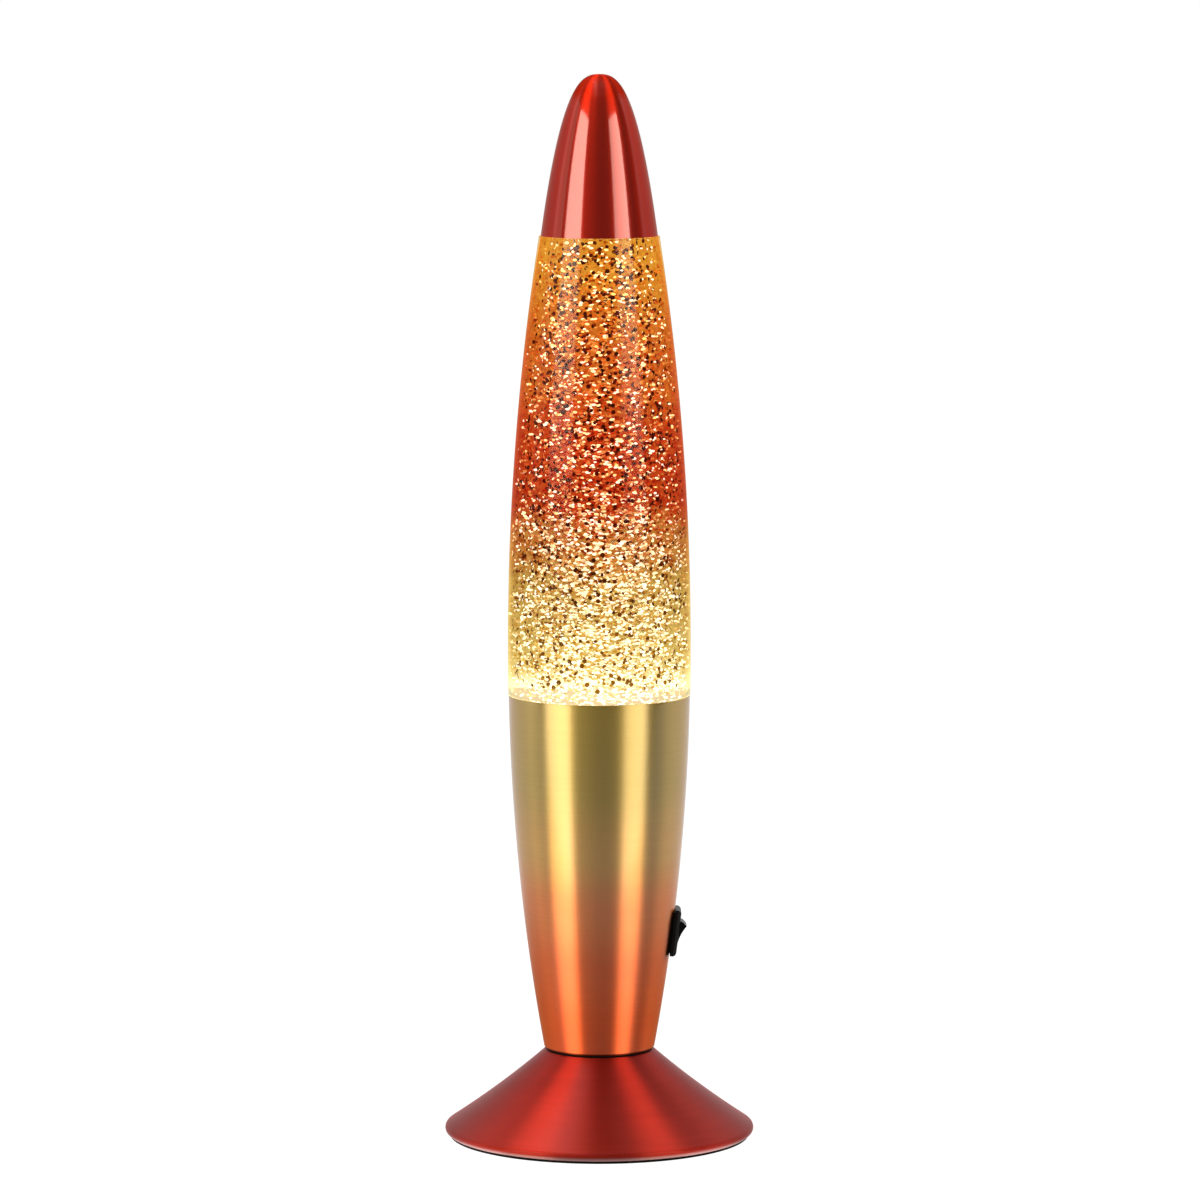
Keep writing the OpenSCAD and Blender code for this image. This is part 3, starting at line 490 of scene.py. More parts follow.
def along_z(tree, low, high):
    """Share of the way from height low to height high."""
    spot = add(tree, "ShaderNodeTexCoord").outputs["Object"]
    z = add(tree, "ShaderNodeSeparateXYZ", {0: spot}).outputs["Z"]
    return remap(tree, z, low, high)


def lacquered(name, colour_of, edge, roughness, streak, coat_roughness, coat_index):
    """Brushed metal under lacquer; colour_of makes its colour, edge tints it where it turns away."""
    material, shader = new_material(name)
    tree = material.node_tree
    rings = use_group(tree, brushed)
    streaks = remap(tree, rings["Lines"], *LINE_RANGE, 1 - streak, 1 + streak)
    grey = add(tree, "ShaderNodeCombineColor", {0: streaks, 1: streaks, 2: streaks}).outputs[0]
    rough = remap(tree, rings["Patches"], 0.0, 1.0,
                  roughness - PATCH_ROUGHNESS, roughness + PATCH_ROUGHNESS)
    fill(tree, shader, {
        "Base Color": blend(tree, 1.0, colour_of(tree), grey, "MULTIPLY"),
        "Roughness": rough,
        "Normal": tilt(tree, rings["Lines"], streak, LINE_DEPTH),
        "Tangent": add(tree, "ShaderNodeTangent", direction_type="RADIAL", axis="Z").outputs[0],
        "Metallic": 1.0,
        "Specular Tint": (*edge, 1),
        "Anisotropic": 1.0,
        "Anisotropic Rotation": ACROSS_RINGS,
        "Coat Roughness": coat_roughness,
        "Coat IOR": coat_index})
    print("metal:", name)
    return material, shader


# %% [markdown]
# ## The base
# The base is a slightly hollow cone spun from sheet, with a flat top, a rim that is rolled under and a
# short hem. The outline runs over the top and down the cone, round the roll, in along the hem, and back
# up the inside one sheet thickness away. Under the roll the red turns pale pink, a painted reflection of
# the white floor in the rolled rim.

# %% Base shell
base_low, base_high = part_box("base_shell")
sheet = 0.8 * MM
base_flat = 17.2 * MM
base_top_round = 1.0 * MM
base_curve = 300 * MM
rim_roll = 1.6 * MM
hem = 5.0 * MM
tube_hole = 5.1 * MM

top_c = (base_flat, base_high.z - base_top_round)
rim_c = (min(base_high.x, -base_low.x) - rim_roll, base_low.z + rim_roll)
side_c = hollow(top_c, base_top_round, rim_c, rim_roll, base_curve)
top_a = angle_at(top_c, side_c)
rim_a = angle_at(rim_c, side_c)
outline = [
    (tube_hole, base_high.z),
    *arc(top_c, base_top_round, 90, top_a, 10),
    *arc(side_c, base_curve, 180 + top_a, 180 + rim_a, 24)[1:],
    *arc(rim_c, rim_roll, rim_a, -90, 28)[1:],
    (rim_c[0] - hem, base_low.z),
    (rim_c[0] - hem, base_low.z + sheet),
    *arc(rim_c, rim_roll - sheet, -90, rim_a, 16),
    *arc(side_c, base_curve + sheet, 180 + rim_a, 180 + top_a, 24)[1:],
    *arc(top_c, base_top_round - sheet, top_a, 90, 6)[1:],
    (tube_hole, base_high.z - sheet),
]
base_mesh = lathe("base_cone", outline, METAL_STEPS)
place("base_cone", base_mesh, "stand", "base_red", "base_shell")

# %% Base finish
# Painted reflection: the pale pink under the roll stands for the white floor mirrored in the rim.
RIM_PAINTED_REFLECTION = (0.50, 0.25, 0.23)
RED_WARM = (0.48, 0.030, 0.017)
RED_DEEP = (0.48, 0.024, 0.012)
BASE_EDGE = (1.0, 0.85, 0.85)
BASE_COAT = 0.1


def base_colour(tree):
    """Red, with a painted reflection of the floor in pale pink at the rim."""
    up = along_z(tree, base_low.z, base_high.z)
    return ramp(tree, up, [(0.025, RIM_PAINTED_REFLECTION), (0.055, RED_WARM), (1.0, RED_DEEP)])


base_red, shader = lacquered("base_red", base_colour, BASE_EDGE, roughness=0.58, streak=0.06,
                             coat_roughness=0.15, coat_index=1.5)
shader.inputs["Coat Weight"].default_value = BASE_COAT
base_mesh.materials.append(base_red)

# %% [markdown]
# ## The body
# The body is a deep cup on one long arc, gold at the rim and copper orange at the foot, where its rounded
# edge is painted dark as shade. The wall is cut through for the switch and for the cord's bush, so the
# turned mesh loses two blocks to a Boolean before it is placed.

# %% Body outline
body_low, body_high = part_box("body_shell")
foot_r = 17.6 * MM
foot_round = 1.0 * MM
rim_edge = 0.25 * MM
body_curve = 700 * MM
rim_r = 28.95 * MM

body_c = bulge((foot_r, body_low.z), (rim_r, body_high.z), body_curve)
foot_c = rounding(body_c, body_curve, foot_round, body_low.z + foot_round)
foot_a = angle_at(body_c, foot_c)
edge_c = rounding(body_c, body_curve, rim_edge, body_high.z - rim_edge)
edge_a = angle_at(body_c, edge_c)
inner = body_curve - sheet
inner_top_a = angle_up(body_c, inner, body_high.z)
outline = [
    (tube_hole, body_low.z),
    *arc(foot_c, foot_round, -90, foot_a, 10),
    *arc(body_c, body_curve, foot_a, edge_a, 72)[1:],
    *arc(edge_c, rim_edge, edge_a, 90, 5)[1:],
    *arc(body_c, inner, inner_top_a, foot_a, 48),
    *arc(foot_c, foot_round - sheet, foot_a, -90, 6)[1:],
    (tube_hole, body_low.z + sheet),
]
cup = lathe("body_cup", outline, METAL_STEPS)
print("body:", len(outline), "points in the outline")

# %% Wall openings
SWITCH_MARGIN = (0, -0.9 * MM, -1.4 * MM)
CORD_MARGIN = (-1.6 * MM, 0, -1.6 * MM)


def cutter(node, margin):
    """A block in the way of a fitting through the wall: its box at rest, grown by a margin."""
    low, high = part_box(node)
    bm = bmesh.new()
    bmesh.ops.create_cube(bm, size=1.0)
    for v in bm.verts:
        v.co = Vector([low[i] - margin[i] if v.co[i] < 0 else high[i] + margin[i] for i in range(3)])
    mesh = bpy.data.meshes.new(node + "_cut")
    bm.to_mesh(mesh)
    bm.free()
    return put(node + "_cut", mesh)


def cut(mesh, tools):
    """The mesh with the tools' blocks taken away, as a new plain mesh."""
    blank = put("blank", mesh)
    for tool in tools:
        step = blank.modifiers.new(tool.name, "BOOLEAN")
        step.operation = "DIFFERENCE"
        step.solver = "EXACT"
        step.object = tool
    bpy.context.view_layer.update()
    done = bpy.data.meshes.new_from_object(blank.evaluated_get(bpy.context.evaluated_depsgraph_get()))
    for extra in [blank, *tools]:
        bpy.data.objects.remove(extra)
    return done


switch_hole = cutter("switch_housing", SWITCH_MARGIN)
cord_hole = cutter("cord_bush", CORD_MARGIN)
cup = cut(cup, [switch_hole, cord_hole])
cup.name = "body_cup"
cup.set_sharp_from_angle(angle=CREASE)
place("body_cup", cup, "stand", "body_ombre", "body_shell")

# %% [markdown]
# The body's colour is one ramp over its height. Its lacquer is shinier towards the rim, where the
# photograph shows sharper bands, and almost dull at the foot.

# %% Body finish
# Painted shade: the lowest stop darkens about the lowest millimetre of the rounded foot.
FOOT_SHADE = (0.10, 0.016, 0.006)
DEEP_ORANGE = (0.95, 0.160, 0.034)
ORANGE = (0.95, 0.195, 0.050)
COPPER = (0.94, 0.290, 0.080)
ROSE_GOLD = (0.78, 0.435, 0.100)
GOLD = (0.60, 0.40, 0.070)
BODY_EDGE = (0.85, 0.6, 0.4)
BODY_COAT = [(0.05, 0.2), (0.6, 1.0)]


def body_colour(tree):
    """Orange at the foot to gold at the rim, with painted shade on the rounded foot."""
    up = along_z(tree, body_low.z, body_high.z)
    return ramp(tree, up, [(0.003, FOOT_SHADE), (0.008, DEEP_ORANGE), (0.08, DEEP_ORANGE), (0.24, ORANGE),
                           (0.41, COPPER), (0.58, ROSE_GOLD), (0.78, GOLD)])


body_ombre, shader = lacquered("body_ombre", body_colour, BODY_EDGE, roughness=0.49, streak=0.04,
                               coat_roughness=0.22, coat_index=1.65)
tree = body_ombre.node_tree
fill(tree, shader, {"Coat Weight": levels(tree, along_z(tree, body_low.z, body_high.z), BODY_COAT)})
cup.materials.clear()
cup.materials.append(body_ombre)

# %% [markdown]
# ## The cap's shape
# The cap follows one rule: its radius falls with a power of the height that is left, which gives a blunt
# bullet tip. A shape with a rule suits Geometry Nodes: a flat grid is wrapped round the axis, its lower
# half becomes the outer skin, and its upper half comes back down as the inner skin.

# %% Cap tree
JUST_PAST_TIP = 1.0001
SEAM = 1e-6

group, given, result = open_group(
    "bullet_cap", "GeometryNodeTree",
    [("Geometry", GEOMETRY, None), ("Rim Radius", FLOAT, 0.02), ("Height", FLOAT, 0.05),
     ("Rim Height", FLOAT, 0.0), ("Bluntness", FLOAT, 0.375), ("Wall", FLOAT, 0.001),
     ("Steps Round", INTEGER, 240), ("Steps Up", INTEGER, 161), ("Finish", MATERIAL, None)],
    [("Geometry", GEOMETRY)])
grid = add(group, "GeometryNodeMeshGrid", {
    "Vertices X": given["Steps Round"], "Vertices Y": given["Steps Up"]}).outputs
flat = add(group, "ShaderNodeSeparateXYZ", {0: grid["UV Map"]}).outputs
turn = calc(group, "MULTIPLY", flat["X"], 2 * math.pi)
run = calc(group, "MULTIPLY", flat["Y"], 2)
inside = calc(group, "GREATER_THAN", run, JUST_PAST_TIP)
left = calc(group, "ABSOLUTE", calc(group, "SUBTRACT", 1.0, run))
thin = calc(group, "MULTIPLY", inside, given["Wall"])
wide = calc(group, "MULTIPLY", left, calc(group, "SUBTRACT", given["Rim Radius"], thin))
fall = calc(group, "POWER", left, calc(group, "DIVIDE", 1.0, given["Bluntness"]))
tall = calc(group, "MULTIPLY", calc(group, "SUBTRACT", given["Height"], thin),
            calc(group, "SUBTRACT", 1.0, fall))
point = add(group, "ShaderNodeCombineXYZ", {
    0: calc(group, "MULTIPLY", wide, calc(group, "COSINE", turn)),
    1: calc(group, "MULTIPLY", wide, calc(group, "SINE", turn)),
    2: calc(group, "ADD", tall, given["Rim Height"])}).outputs[0]
wrapped = add(group, "GeometryNodeSetPosition", {"Geometry": grid["Mesh"], "Position": point}).outputs[0]
joined = add(group, "GeometryNodeMergeByDistance", {"Geometry": wrapped, "Distance": SEAM}).outputs[0]
smooth = add(group, "GeometryNodeSetShadeSmooth", {"Geometry": joined}).outputs[0]
real = add(group, "GeometryNodeRealizeInstances", {"Geometry": smooth}).outputs[0]
done = add(group, "GeometryNodeSetMaterial", {"Geometry": real, "Material": given["Finish"]}).outputs[0]
group.links.new(done, result["Geometry"])
bullet_cap = group
print("tree:", bullet_cap.name)

# %% [markdown]
# A tree is run on an empty object, its inputs set by their identifiers, and the result is taken off as a
# plain mesh. On the cap, the ring between the outer and the inner rim is still open after that and is
# bridged.

# %% Grown meshes
DOUBLES = 1e-7


def grow(name, shared, **values):
    """Run a Geometry Nodes tree with its inputs set by name, and return the result as a plain mesh."""
    holder = put(name + "_seed", bpy.data.meshes.new(name + "_seed"))
    step = holder.modifiers.new(name, "NODES")
    step.node_group = shared
    for socket in shared.interface.items_tree:
        key = socket.name.replace(" ", "_").lower()
        if socket.in_out == "INPUT" and key in values:
            step[socket.identifier] = values[key]
    bpy.context.view_layer.update()
    done = bpy.data.meshes.new_from_object(holder.evaluated_get(bpy.context.evaluated_depsgraph_get()))
    done.name = name
    holder.modifiers.remove(step)
    bpy.data.objects.remove(holder)
    print("grown:", name, len(done.polygons), "faces")
    return done


def close_up(mesh):
    """Merge doubles, close the ring between the two rims and turn every face outwards."""
    bm = bmesh.new()
    bm.from_mesh(mesh)
    bmesh.ops.remove_doubles(bm, verts=bm.verts, dist=DOUBLES)
    bmesh.ops.bridge_loops(bm, edges=[e for e in bm.edges if e.is_boundary])
    bmesh.ops.recalc_face_normals(bm, faces=bm.faces)
    bm.to_mesh(mesh)
    bm.free()


# %% [markdown]
# ## The cap's finish
# The cap is the glossiest metal of the lamp: red lacquer with a thick clear coat that mirrors the soft
# boxes with crisp edges. In the photograph those bands stop short of the tip, and the sides of the cap
# look duller, so the coat thins out at the tip and where the surface turns away.

# %% Cap
CAP_BLUNTNESS = 0.375
CAP_RED_LOW = (0.56, 0.019, 0.005)
CAP_RED = (0.60, 0.022, 0.005)
CAP_EDGE = (0.9, 0.5, 0.42)
CAP_COAT_FACING = [(0.15, 1.0), (0.45, 0.25)]
CAP_COAT_UP = [(0.82, 1.0), (0.90, 0.1)]
cap_low, cap_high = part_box("cap_shell")


def cap_colour(tree):
    """Red, a little deeper at the rim."""
    return ramp(tree, along_z(tree, cap_low.z, cap_high.z), [(0.0, CAP_RED_LOW), (1.0, CAP_RED)])


cap_red, shader = lacquered("cap_red", cap_colour, CAP_EDGE, roughness=0.5, streak=0.02,
                            coat_roughness=0.1, coat_index=1.85)
tree = cap_red.node_tree
facing = add(tree, "ShaderNodeLayerWeight", {"Blend": 0.5}).outputs["Facing"]
sides = levels(tree, facing, CAP_COAT_FACING)
tip = levels(tree, along_z(tree, cap_low.z, cap_high.z), CAP_COAT_UP)
fill(tree, shader, {"Coat Weight": blend(tree, 1.0, sides, tip, "MULTIPLY")})

cap_mesh = grow("cap_bullet", bullet_cap, rim_radius=cap_high.x, height=cap_high.z - cap_low.z,
                rim_height=cap_low.z, bluntness=CAP_BLUNTNESS, wall=sheet, finish=cap_red)
close_up(cap_mesh)
cap_mesh.set_sharp_from_angle(angle=CREASE)
place("cap_bullet", cap_mesh, "cap", "cap_red", "cap_shell")

# %% [markdown]
# ## The bottle and its liquid
# The bottle is blown glass on a second long arc, with a neck under the cap and a skirt that goes down
# into the body. Its floor is pushed up in the middle, as on most bottles. The liquid fills its bore up
# into the neck, a tenth of a millimetre away from the glass, so that the two skins never touch.

# %% Bottle bore
glass_low, glass_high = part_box("bottle_glass")
liquid_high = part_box("liquid")[1]
seam_z = body_high.z
seam_r = 29.05 * MM
shoulder_z = cap_low.z
shoulder_r = 19.1 * MM
shoulder_inner = 0.8 * MM
shoulder_wall = 0.6 * MM
glass = 2.6 * MM
glass_curve = 858 * MM
floor_t = 4.0 * MM
floor_round = 10.0 * MM
neck_bore = 8.0 * MM

glass_c = bulge((seam_r, seam_z), (shoulder_r, shoulder_z), glass_curve)
bore_curve = glass_curve - glass
bore_foot = rounding(glass_c, bore_curve, floor_round, glass_low.z + floor_t + floor_round)
bore_top = rounding(glass_c, bore_curve, shoulder_inner, shoulder_z - shoulder_wall - shoulder_inner)
bore_foot_a = angle_at(glass_c, bore_foot)
bore_top_a = angle_at(glass_c, bore_top)


def bore(gap, top):
    """The inside of the bottle from the middle of its floor up into the neck, drawn in by a gap."""
    return [
        (0, glass_low.z + floor_t + gap),
        *arc(bore_foot, floor_round - gap, -90, bore_foot_a, 14),
        *arc(glass_c, bore_curve - gap, bore_foot_a, bore_top_a, 72)[1:],
        *arc(bore_top, shoulder_inner - gap, bore_top_a, 90, 8)[1:],
        (neck_bore - gap, shoulder_z - shoulder_wall - gap),
        (neck_bore - gap, top),
    ]


print("bore: floor at", round(glass_low.z + floor_t, 4), "m, shoulder at", round(shoulder_z, 4), "m")

# %% Bottle and liquid
shoulder_round = 0.3 * MM
skirt_round = 3.0 * MM
skirt_gap = 0.4 * MM
punt_r = 16 * MM
punt_h = 2 * MM
neck_r = 10.5 * MM
neck_root = 2.0 * MM
liquid_gap = 0.1 * MM

seam_a = angle_at(glass_c, (seam_r, seam_z))
shoulder_c = rounding(glass_c, glass_curve, shoulder_round, shoulder_z - shoulder_round)
shoulder_a = angle_at(glass_c, shoulder_c)
skirt_curve = body_curve - sheet - skirt_gap
skirt_c = rounding(body_c, skirt_curve, skirt_round, glass_low.z + skirt_round)
skirt_a = angle_at(body_c, skirt_c)
skirt_top_a = angle_up(body_c, skirt_curve, seam_z)
punt_curve = (punt_r**2 + punt_h**2) / (2 * punt_h)
punt_c = (0, glass_low.z + punt_h - punt_curve)
punt_a = 90 - math.degrees(math.asin(punt_r / punt_curve))
outer_skin = [
    (0, glass_low.z + punt_h),
    *arc(punt_c, punt_curve, 90, punt_a, 12)[1:],
    *arc(skirt_c, skirt_round, -90, skirt_a, 8),
    *arc(body_c, skirt_curve, skirt_a, skirt_top_a, 10)[1:],
    *arc(glass_c, glass_curve, seam_a, shoulder_a, 96),
    *arc(shoulder_c, shoulder_round, shoulder_a, 90, 6)[1:],
    *arc((neck_r + neck_root, shoulder_z + neck_root), neck_root, -90, -180, 6),
    (neck_r, glass_high.z),
]
inner_skin = bore(0, glass_high.z)[::-1]
glass_mesh = lathe("glass_bottle", outer_skin + inner_skin, GLASS_STEPS, inner_from=len(outer_skin))
place("glass_bottle", glass_mesh, "bottle", "bottle_glass", "bottle_glass")
liquid_outline = [*bore(liquid_gap, liquid_high.z), (0, liquid_high.z)]
liquid_mesh = lathe("tinted_liquid", liquid_outline, GLASS_STEPS)
place("tinted_liquid", liquid_mesh, "bottle", "liquid", "liquid")

# %% [markdown]
# ## The colour of the liquid
# Lit from below, the liquid is nearly white over the bulb, gold above that, red-orange in the middle and
# amber under the cap; the white over the bulb is the bulb's light, painted into the colours. The border
# between gold and red is ragged where the glitter swirls. One shader group gives the height in the bottle
# with that ragged border, and the glass, the liquid and the flakes all take their colours from it. Its
# second output is a fine mottle for the liquid.

# %% Height group
MOTTLE_RANGE = (0.36, 0.64)

group, given, result = open_group(
    "swirled_height", "ShaderNodeTree",
    [("Low", FLOAT, seam_z), ("High", FLOAT, shoulder_z), ("Swirl", FLOAT, 0.10)],
    [("Height", FLOAT), ("Mottle", FLOAT)])
spot = add(group, "ShaderNodeTexCoord").outputs["Object"]
z = add(group, "ShaderNodeSeparateXYZ", {0: spot}).outputs["Z"]
span = calc(group, "SUBTRACT", given["High"], given["Low"])
up = calc(group, "DIVIDE", calc(group, "SUBTRACT", z, given["Low"]), span)
swirl = add(group, "ShaderNodeTexNoise", {"Vector": spot, "Scale": 55.0, "Detail": 3.0}).outputs["Fac"]
shift = calc(group, "MULTIPLY", calc(group, "SUBTRACT", swirl, 0.5), given["Swirl"])
flecks = add(group, "ShaderNodeTexNoise", {
    "Vector": spot, "Scale": 700.0, "Detail": 2.0, "Roughness": 0.7}).outputs["Fac"]
group.links.new(calc(group, "ADD", up, shift), result["Height"])
group.links.new(remap(group, flecks, *MOTTLE_RANGE), result["Mottle"])
swirled = group
print("group:", swirled.name)

# %% [markdown]
# Each tone of the bottle is a list of stops over that height, from the seam at the body up to the cap.
# The lists go from the darkest flakes to the white ones, and the last one is the glass's own edge.

# %% Tones over the height
# Painted light: the pale stops at the foot of each list are the bulb's light, FLASH and WHITE are painted
# glints, and DARK and SHADE are painted shade on flakes turned from the light.
DARK = [(0.0, (0.16, 0.080, 0.010)), (0.35, (0.060, 0.010, 0.003)), (1.0, (0.040, 0.004, 0.002))]
SHADE = [(0.0, (0.36, 0.18, 0.02)), (0.30, (0.16, 0.035, 0.004)), (0.45, (0.12, 0.006, 0.002)),
         (1.0, (0.16, 0.022, 0.002))]
DEEP = [(0.0, (0.60, 0.44, 0.10)), (0.05, (0.36, 0.18, 0.020)), (0.22, (0.22, 0.060, 0.005)),
        (0.31, (0.22, 0.030, 0.003)), (0.42, (0.17, 0.004, 0.001)), (0.70, (0.17, 0.010, 0.001)),
        (1.0, (0.32, 0.055, 0.003))]
MID = [(0.0, (0.85, 0.75, 0.40)), (0.05, (0.54, 0.36, 0.06)), (0.22, (0.44, 0.22, 0.03)),
       (0.31, (0.45, 0.12, 0.013)), (0.42, (0.45, 0.024, 0.003)), (0.55, (0.51, 0.030, 0.003)),
       (0.70, (0.60, 0.085, 0.006)), (1.0, (0.80, 0.27, 0.014))]
LIGHT = [(0.0, (0.95, 0.90, 0.62)), (0.05, (0.72, 0.54, 0.17)), (0.22, (0.64, 0.42, 0.09)),
         (0.31, (0.66, 0.30, 0.06)), (0.42, (0.64, 0.080, 0.012)), (0.55, (0.70, 0.090, 0.012)),
         (0.70, (0.78, 0.20, 0.022)), (1.0, (0.92, 0.42, 0.040))]
FLASH = [(0.0, (1.0, 1.0, 0.85)), (0.22, (1.0, 0.95, 0.62)), (0.31, (1.0, 0.88, 0.48)),
         (0.45, (1.0, 0.68, 0.22)), (0.70, (1.0, 0.70, 0.20)), (1.0, (1.0, 0.80, 0.20))]
WHITE = [(0.0, (1.0, 1.0, 0.95)), (1.0, (1.0, 0.97, 0.80))]
GLASS_EDGE = [(0.0, (1.0, 0.90, 0.50)), (0.22, (1.0, 0.76, 0.24)), (0.31, (0.92, 0.52, 0.11)),
              (0.42, (0.70, 0.12, 0.014)), (0.55, (0.76, 0.135, 0.014)), (0.70, (0.82, 0.23, 0.025)),
              (1.0, (0.96, 0.46, 0.050))]
print("tones: 8 lists of stops")

# %% [markdown]
# ## The glass
# The glass has two materials, one for its outer skin and one for the skin that the liquid wets. Real
# glass bends light far more, but then the edges of so thick a bottle turn white and hazy, so the outer
# skin has a low index and the wet one doesn't bend light at all. Where the outer skin turns away, it
# takes the tint of the liquid behind it and a little painted glow in that tint, which stands in for the
# light that real glass gathers at its edges. A clear coat that grows towards the shoulder gives it a soft
# shine.

# %% Glass
GLASS_INDEX = 1.13
WET_INDEX = 1.0
GLASS_WAVES = [(0.3, (0.985, 0.975, 0.96)), (0.7, (1.0, 0.995, 0.985))]
EDGE_TINT = [(0.5, 0.0), (0.85, 1.0)]
EDGE_PAINTED_GLOW = [(0.6, 0.0), (1.0, 1.0)]
EDGE_STRENGTH = 0.6
SHINE_UP = [(0.3, 0.0), (0.9, 0.48)]
SHINE_FACING = [(0.2, 1.0), (0.5, 0.0)]
SHINE_ROUGHNESS = 0.15
BLACK = (0, 0, 0, 1)


def glass_material(name, index):
    """Clear glass with faint waves of colour; returns it with its shader and that colour."""
    material, shader = new_material(name)
    tree = material.node_tree
    spot = add(tree, "ShaderNodeTexCoord").outputs["Object"]
    waves = add(tree, "ShaderNodeTexNoise", {"Vector": spot, "Scale": 90.0, "Detail": 1.0}).outputs["Fac"]
    clear = ramp(tree, waves, GLASS_WAVES)
    fill(tree, shader, {"Base Color": clear, "Roughness": 0.0, "IOR": index, "Transmission Weight": 1.0})
    print("glass:", name, "index", index)
    return material, shader, clear


outer_glass, shader, clear = glass_material("bottle_glass", GLASS_INDEX)
tree = outer_glass.node_tree
edge = add(tree, "ShaderNodeLayerWeight", {"Blend": 0.5}).outputs["Facing"]
tint = ramp(tree, use_group(tree, swirled)["Height"], GLASS_EDGE)
shine = levels(tree, along_z(tree, seam_z, shoulder_z), SHINE_UP)
fill(tree, shader, {
    "Base Color": blend(tree, levels(tree, edge, EDGE_TINT), clear, tint),
    # Painted glow: the edges emit the liquid's tint, standing in for the light real glass gathers there.
    "Emission Color": blend(tree, levels(tree, edge, EDGE_PAINTED_GLOW), BLACK, tint),
    "Emission Strength": EDGE_STRENGTH,
    "Coat Weight": blend(tree, 1.0, shine, levels(tree, edge, SHINE_FACING), "MULTIPLY"),
    "Coat Roughness": SHINE_ROUGHNESS})
glass_mesh.materials.append(outer_glass)
glass_mesh.materials.append(glass_material("bottle_glass_wet", WET_INDEX)[0])

# %% [markdown]
# ## The liquid
# The liquid's near skin is almost clear, and its far skin carries the colour, so the flakes between the
# two stand in front of a coloured ground. Low down the far skin also has a painted glow: the bulb's light,
# painted on where it fills the liquid over the bulb. A ray that goes through is tinted by the root of the
# base colour, so the colour is squared first.

# %% Liquid
NEAR_SKIN = (1, 0.97, 0.9, 1)
PAINTED_BULB_GLOW = [(0.0, (0.62, 0.56, 0.38)), (0.035, (0.36, 0.30, 0.14)), (0.09, (0.14, 0.10, 0.03)),
             (0.30, (0, 0, 0))]

amber, shader = new_material("tinted_liquid")
tree = amber.node_tree
placed = use_group(tree, swirled)
height = placed["Height"]
ground = blend(tree, placed["Mottle"], ramp(tree, height, MID), ramp(tree, height, LIGHT))
squared = blend(tree, 1.0, ground, ground, "MULTIPLY")
far_skin = add(tree, "ShaderNodeNewGeometry").outputs["Backfacing"]
fill(tree, shader, {
    "Base Color": blend(tree, far_skin, NEAR_SKIN, squared),
    # Painted glow: the far skin emits the bulb's light low down.
    "Emission Color": blend(tree, far_skin, BLACK, ramp(tree, height, PAINTED_BULB_GLOW, smooth=False)),
    "Emission Strength": 1.0,
    "Roughness": 0.0,
    "IOR": WET_INDEX,
    "Transmission Weight": 1.0})
liquid_mesh.materials.append(amber)
print("liquid:", amber.name)

# %% [markdown]
# ## The glitter
# Thousands of six-sided flakes of metallised film hang in the liquid. Each is far too small to be
# modelled by hand, and they all follow one rule, so one Geometry Nodes tree scatters them. A flake lies
# somewhere in the bore, more often near the floor and near the wall. It is a small six-sided disc that
# faces outwards, leans by chance and may be drawn out sideways, and it carries a random number that its
# finish reads for its colour.

# %% Glitter places
group, given, result = open_group(
    "glitter_swarm", "GeometryNodeTree",
    [("Geometry", GEOMETRY, None), ("Count", INTEGER, 1000), ("Seed", INTEGER, 1),
     ("Flake Radius", FLOAT, 0.0006), ("Thickness", FLOAT, 0.00006), ("Low", FLOAT, 0.0),
     ("High", FLOAT, 1.0), ("Gather", FLOAT, 1.3), ("Wall Share", FLOAT, 0.4), ("Lean", FLOAT, 0.8),
     ("Stretch", FLOAT, 1.0), ("Finish", MATERIAL, None)],
    [("Geometry", GEOMETRY)])


def chance(step, low=0.0, high=1.0):
    """A random number for each flake, from its own stream."""
    seed = calc(group, "ADD", given["Seed"], step)
    made = add(group, "FunctionNodeRandomValue", {2: low, 3: high, "Seed": seed}, data_type="FLOAT")
    return made.outputs[1]


left = calc(group, "SUBTRACT", 1.0, chance(0))
left = calc(group, "POWER", left, calc(group, "DIVIDE", 1.0, given["Gather"]))
rise = calc(group, "SUBTRACT", 1.0, left)
span = calc(group, "SUBTRACT", given["High"], given["Low"])
z = calc(group, "ADD", given["Low"], calc(group, "MULTIPLY", rise, span))
off = calc(group, "SUBTRACT", z, glass_c[1])
side = calc(group, "SUBTRACT", bore_curve**2, calc(group, "MULTIPLY", off, off))
side = calc(group, "ADD", calc(group, "SQRT", side), glass_c[0])
dip = calc(group, "MAXIMUM", calc(group, "SUBTRACT", bore_foot[1], z), 0.0)
foot = calc(group, "SUBTRACT", floor_round**2, calc(group, "MULTIPLY", dip, dip))
foot = calc(group, "ADD", calc(group, "SQRT", foot), bore_foot[0])
clearance = calc(group, "MULTIPLY", given["Flake Radius"], 2.0)
reach = calc(group, "SUBTRACT", calc(group, "MINIMUM", side, foot), clearance)
r = calc(group, "MULTIPLY", reach, calc(group, "POWER", chance(1), given["Wall Share"]))
turn = chance(2, 0.0, 2 * math.pi)
out_x = calc(group, "COSINE", turn)
out_y = calc(group, "SINE", turn)
spot = add(group, "ShaderNodeCombineXYZ", {
    0: calc(group, "MULTIPLY", r, out_x), 1: calc(group, "MULTIPLY", r, out_y), 2: z}).outputs[0]
points = add(group, "GeometryNodePoints", {"Count": given["Count"], "Position": spot}).outputs[0]
print("places: in a bore of radius", round(bore_foot[0] + floor_round, 4), "m at its foot")

# %% Glitter flakes
SIZE_RANGE = (0.7, 1.15)
SIDES = 6

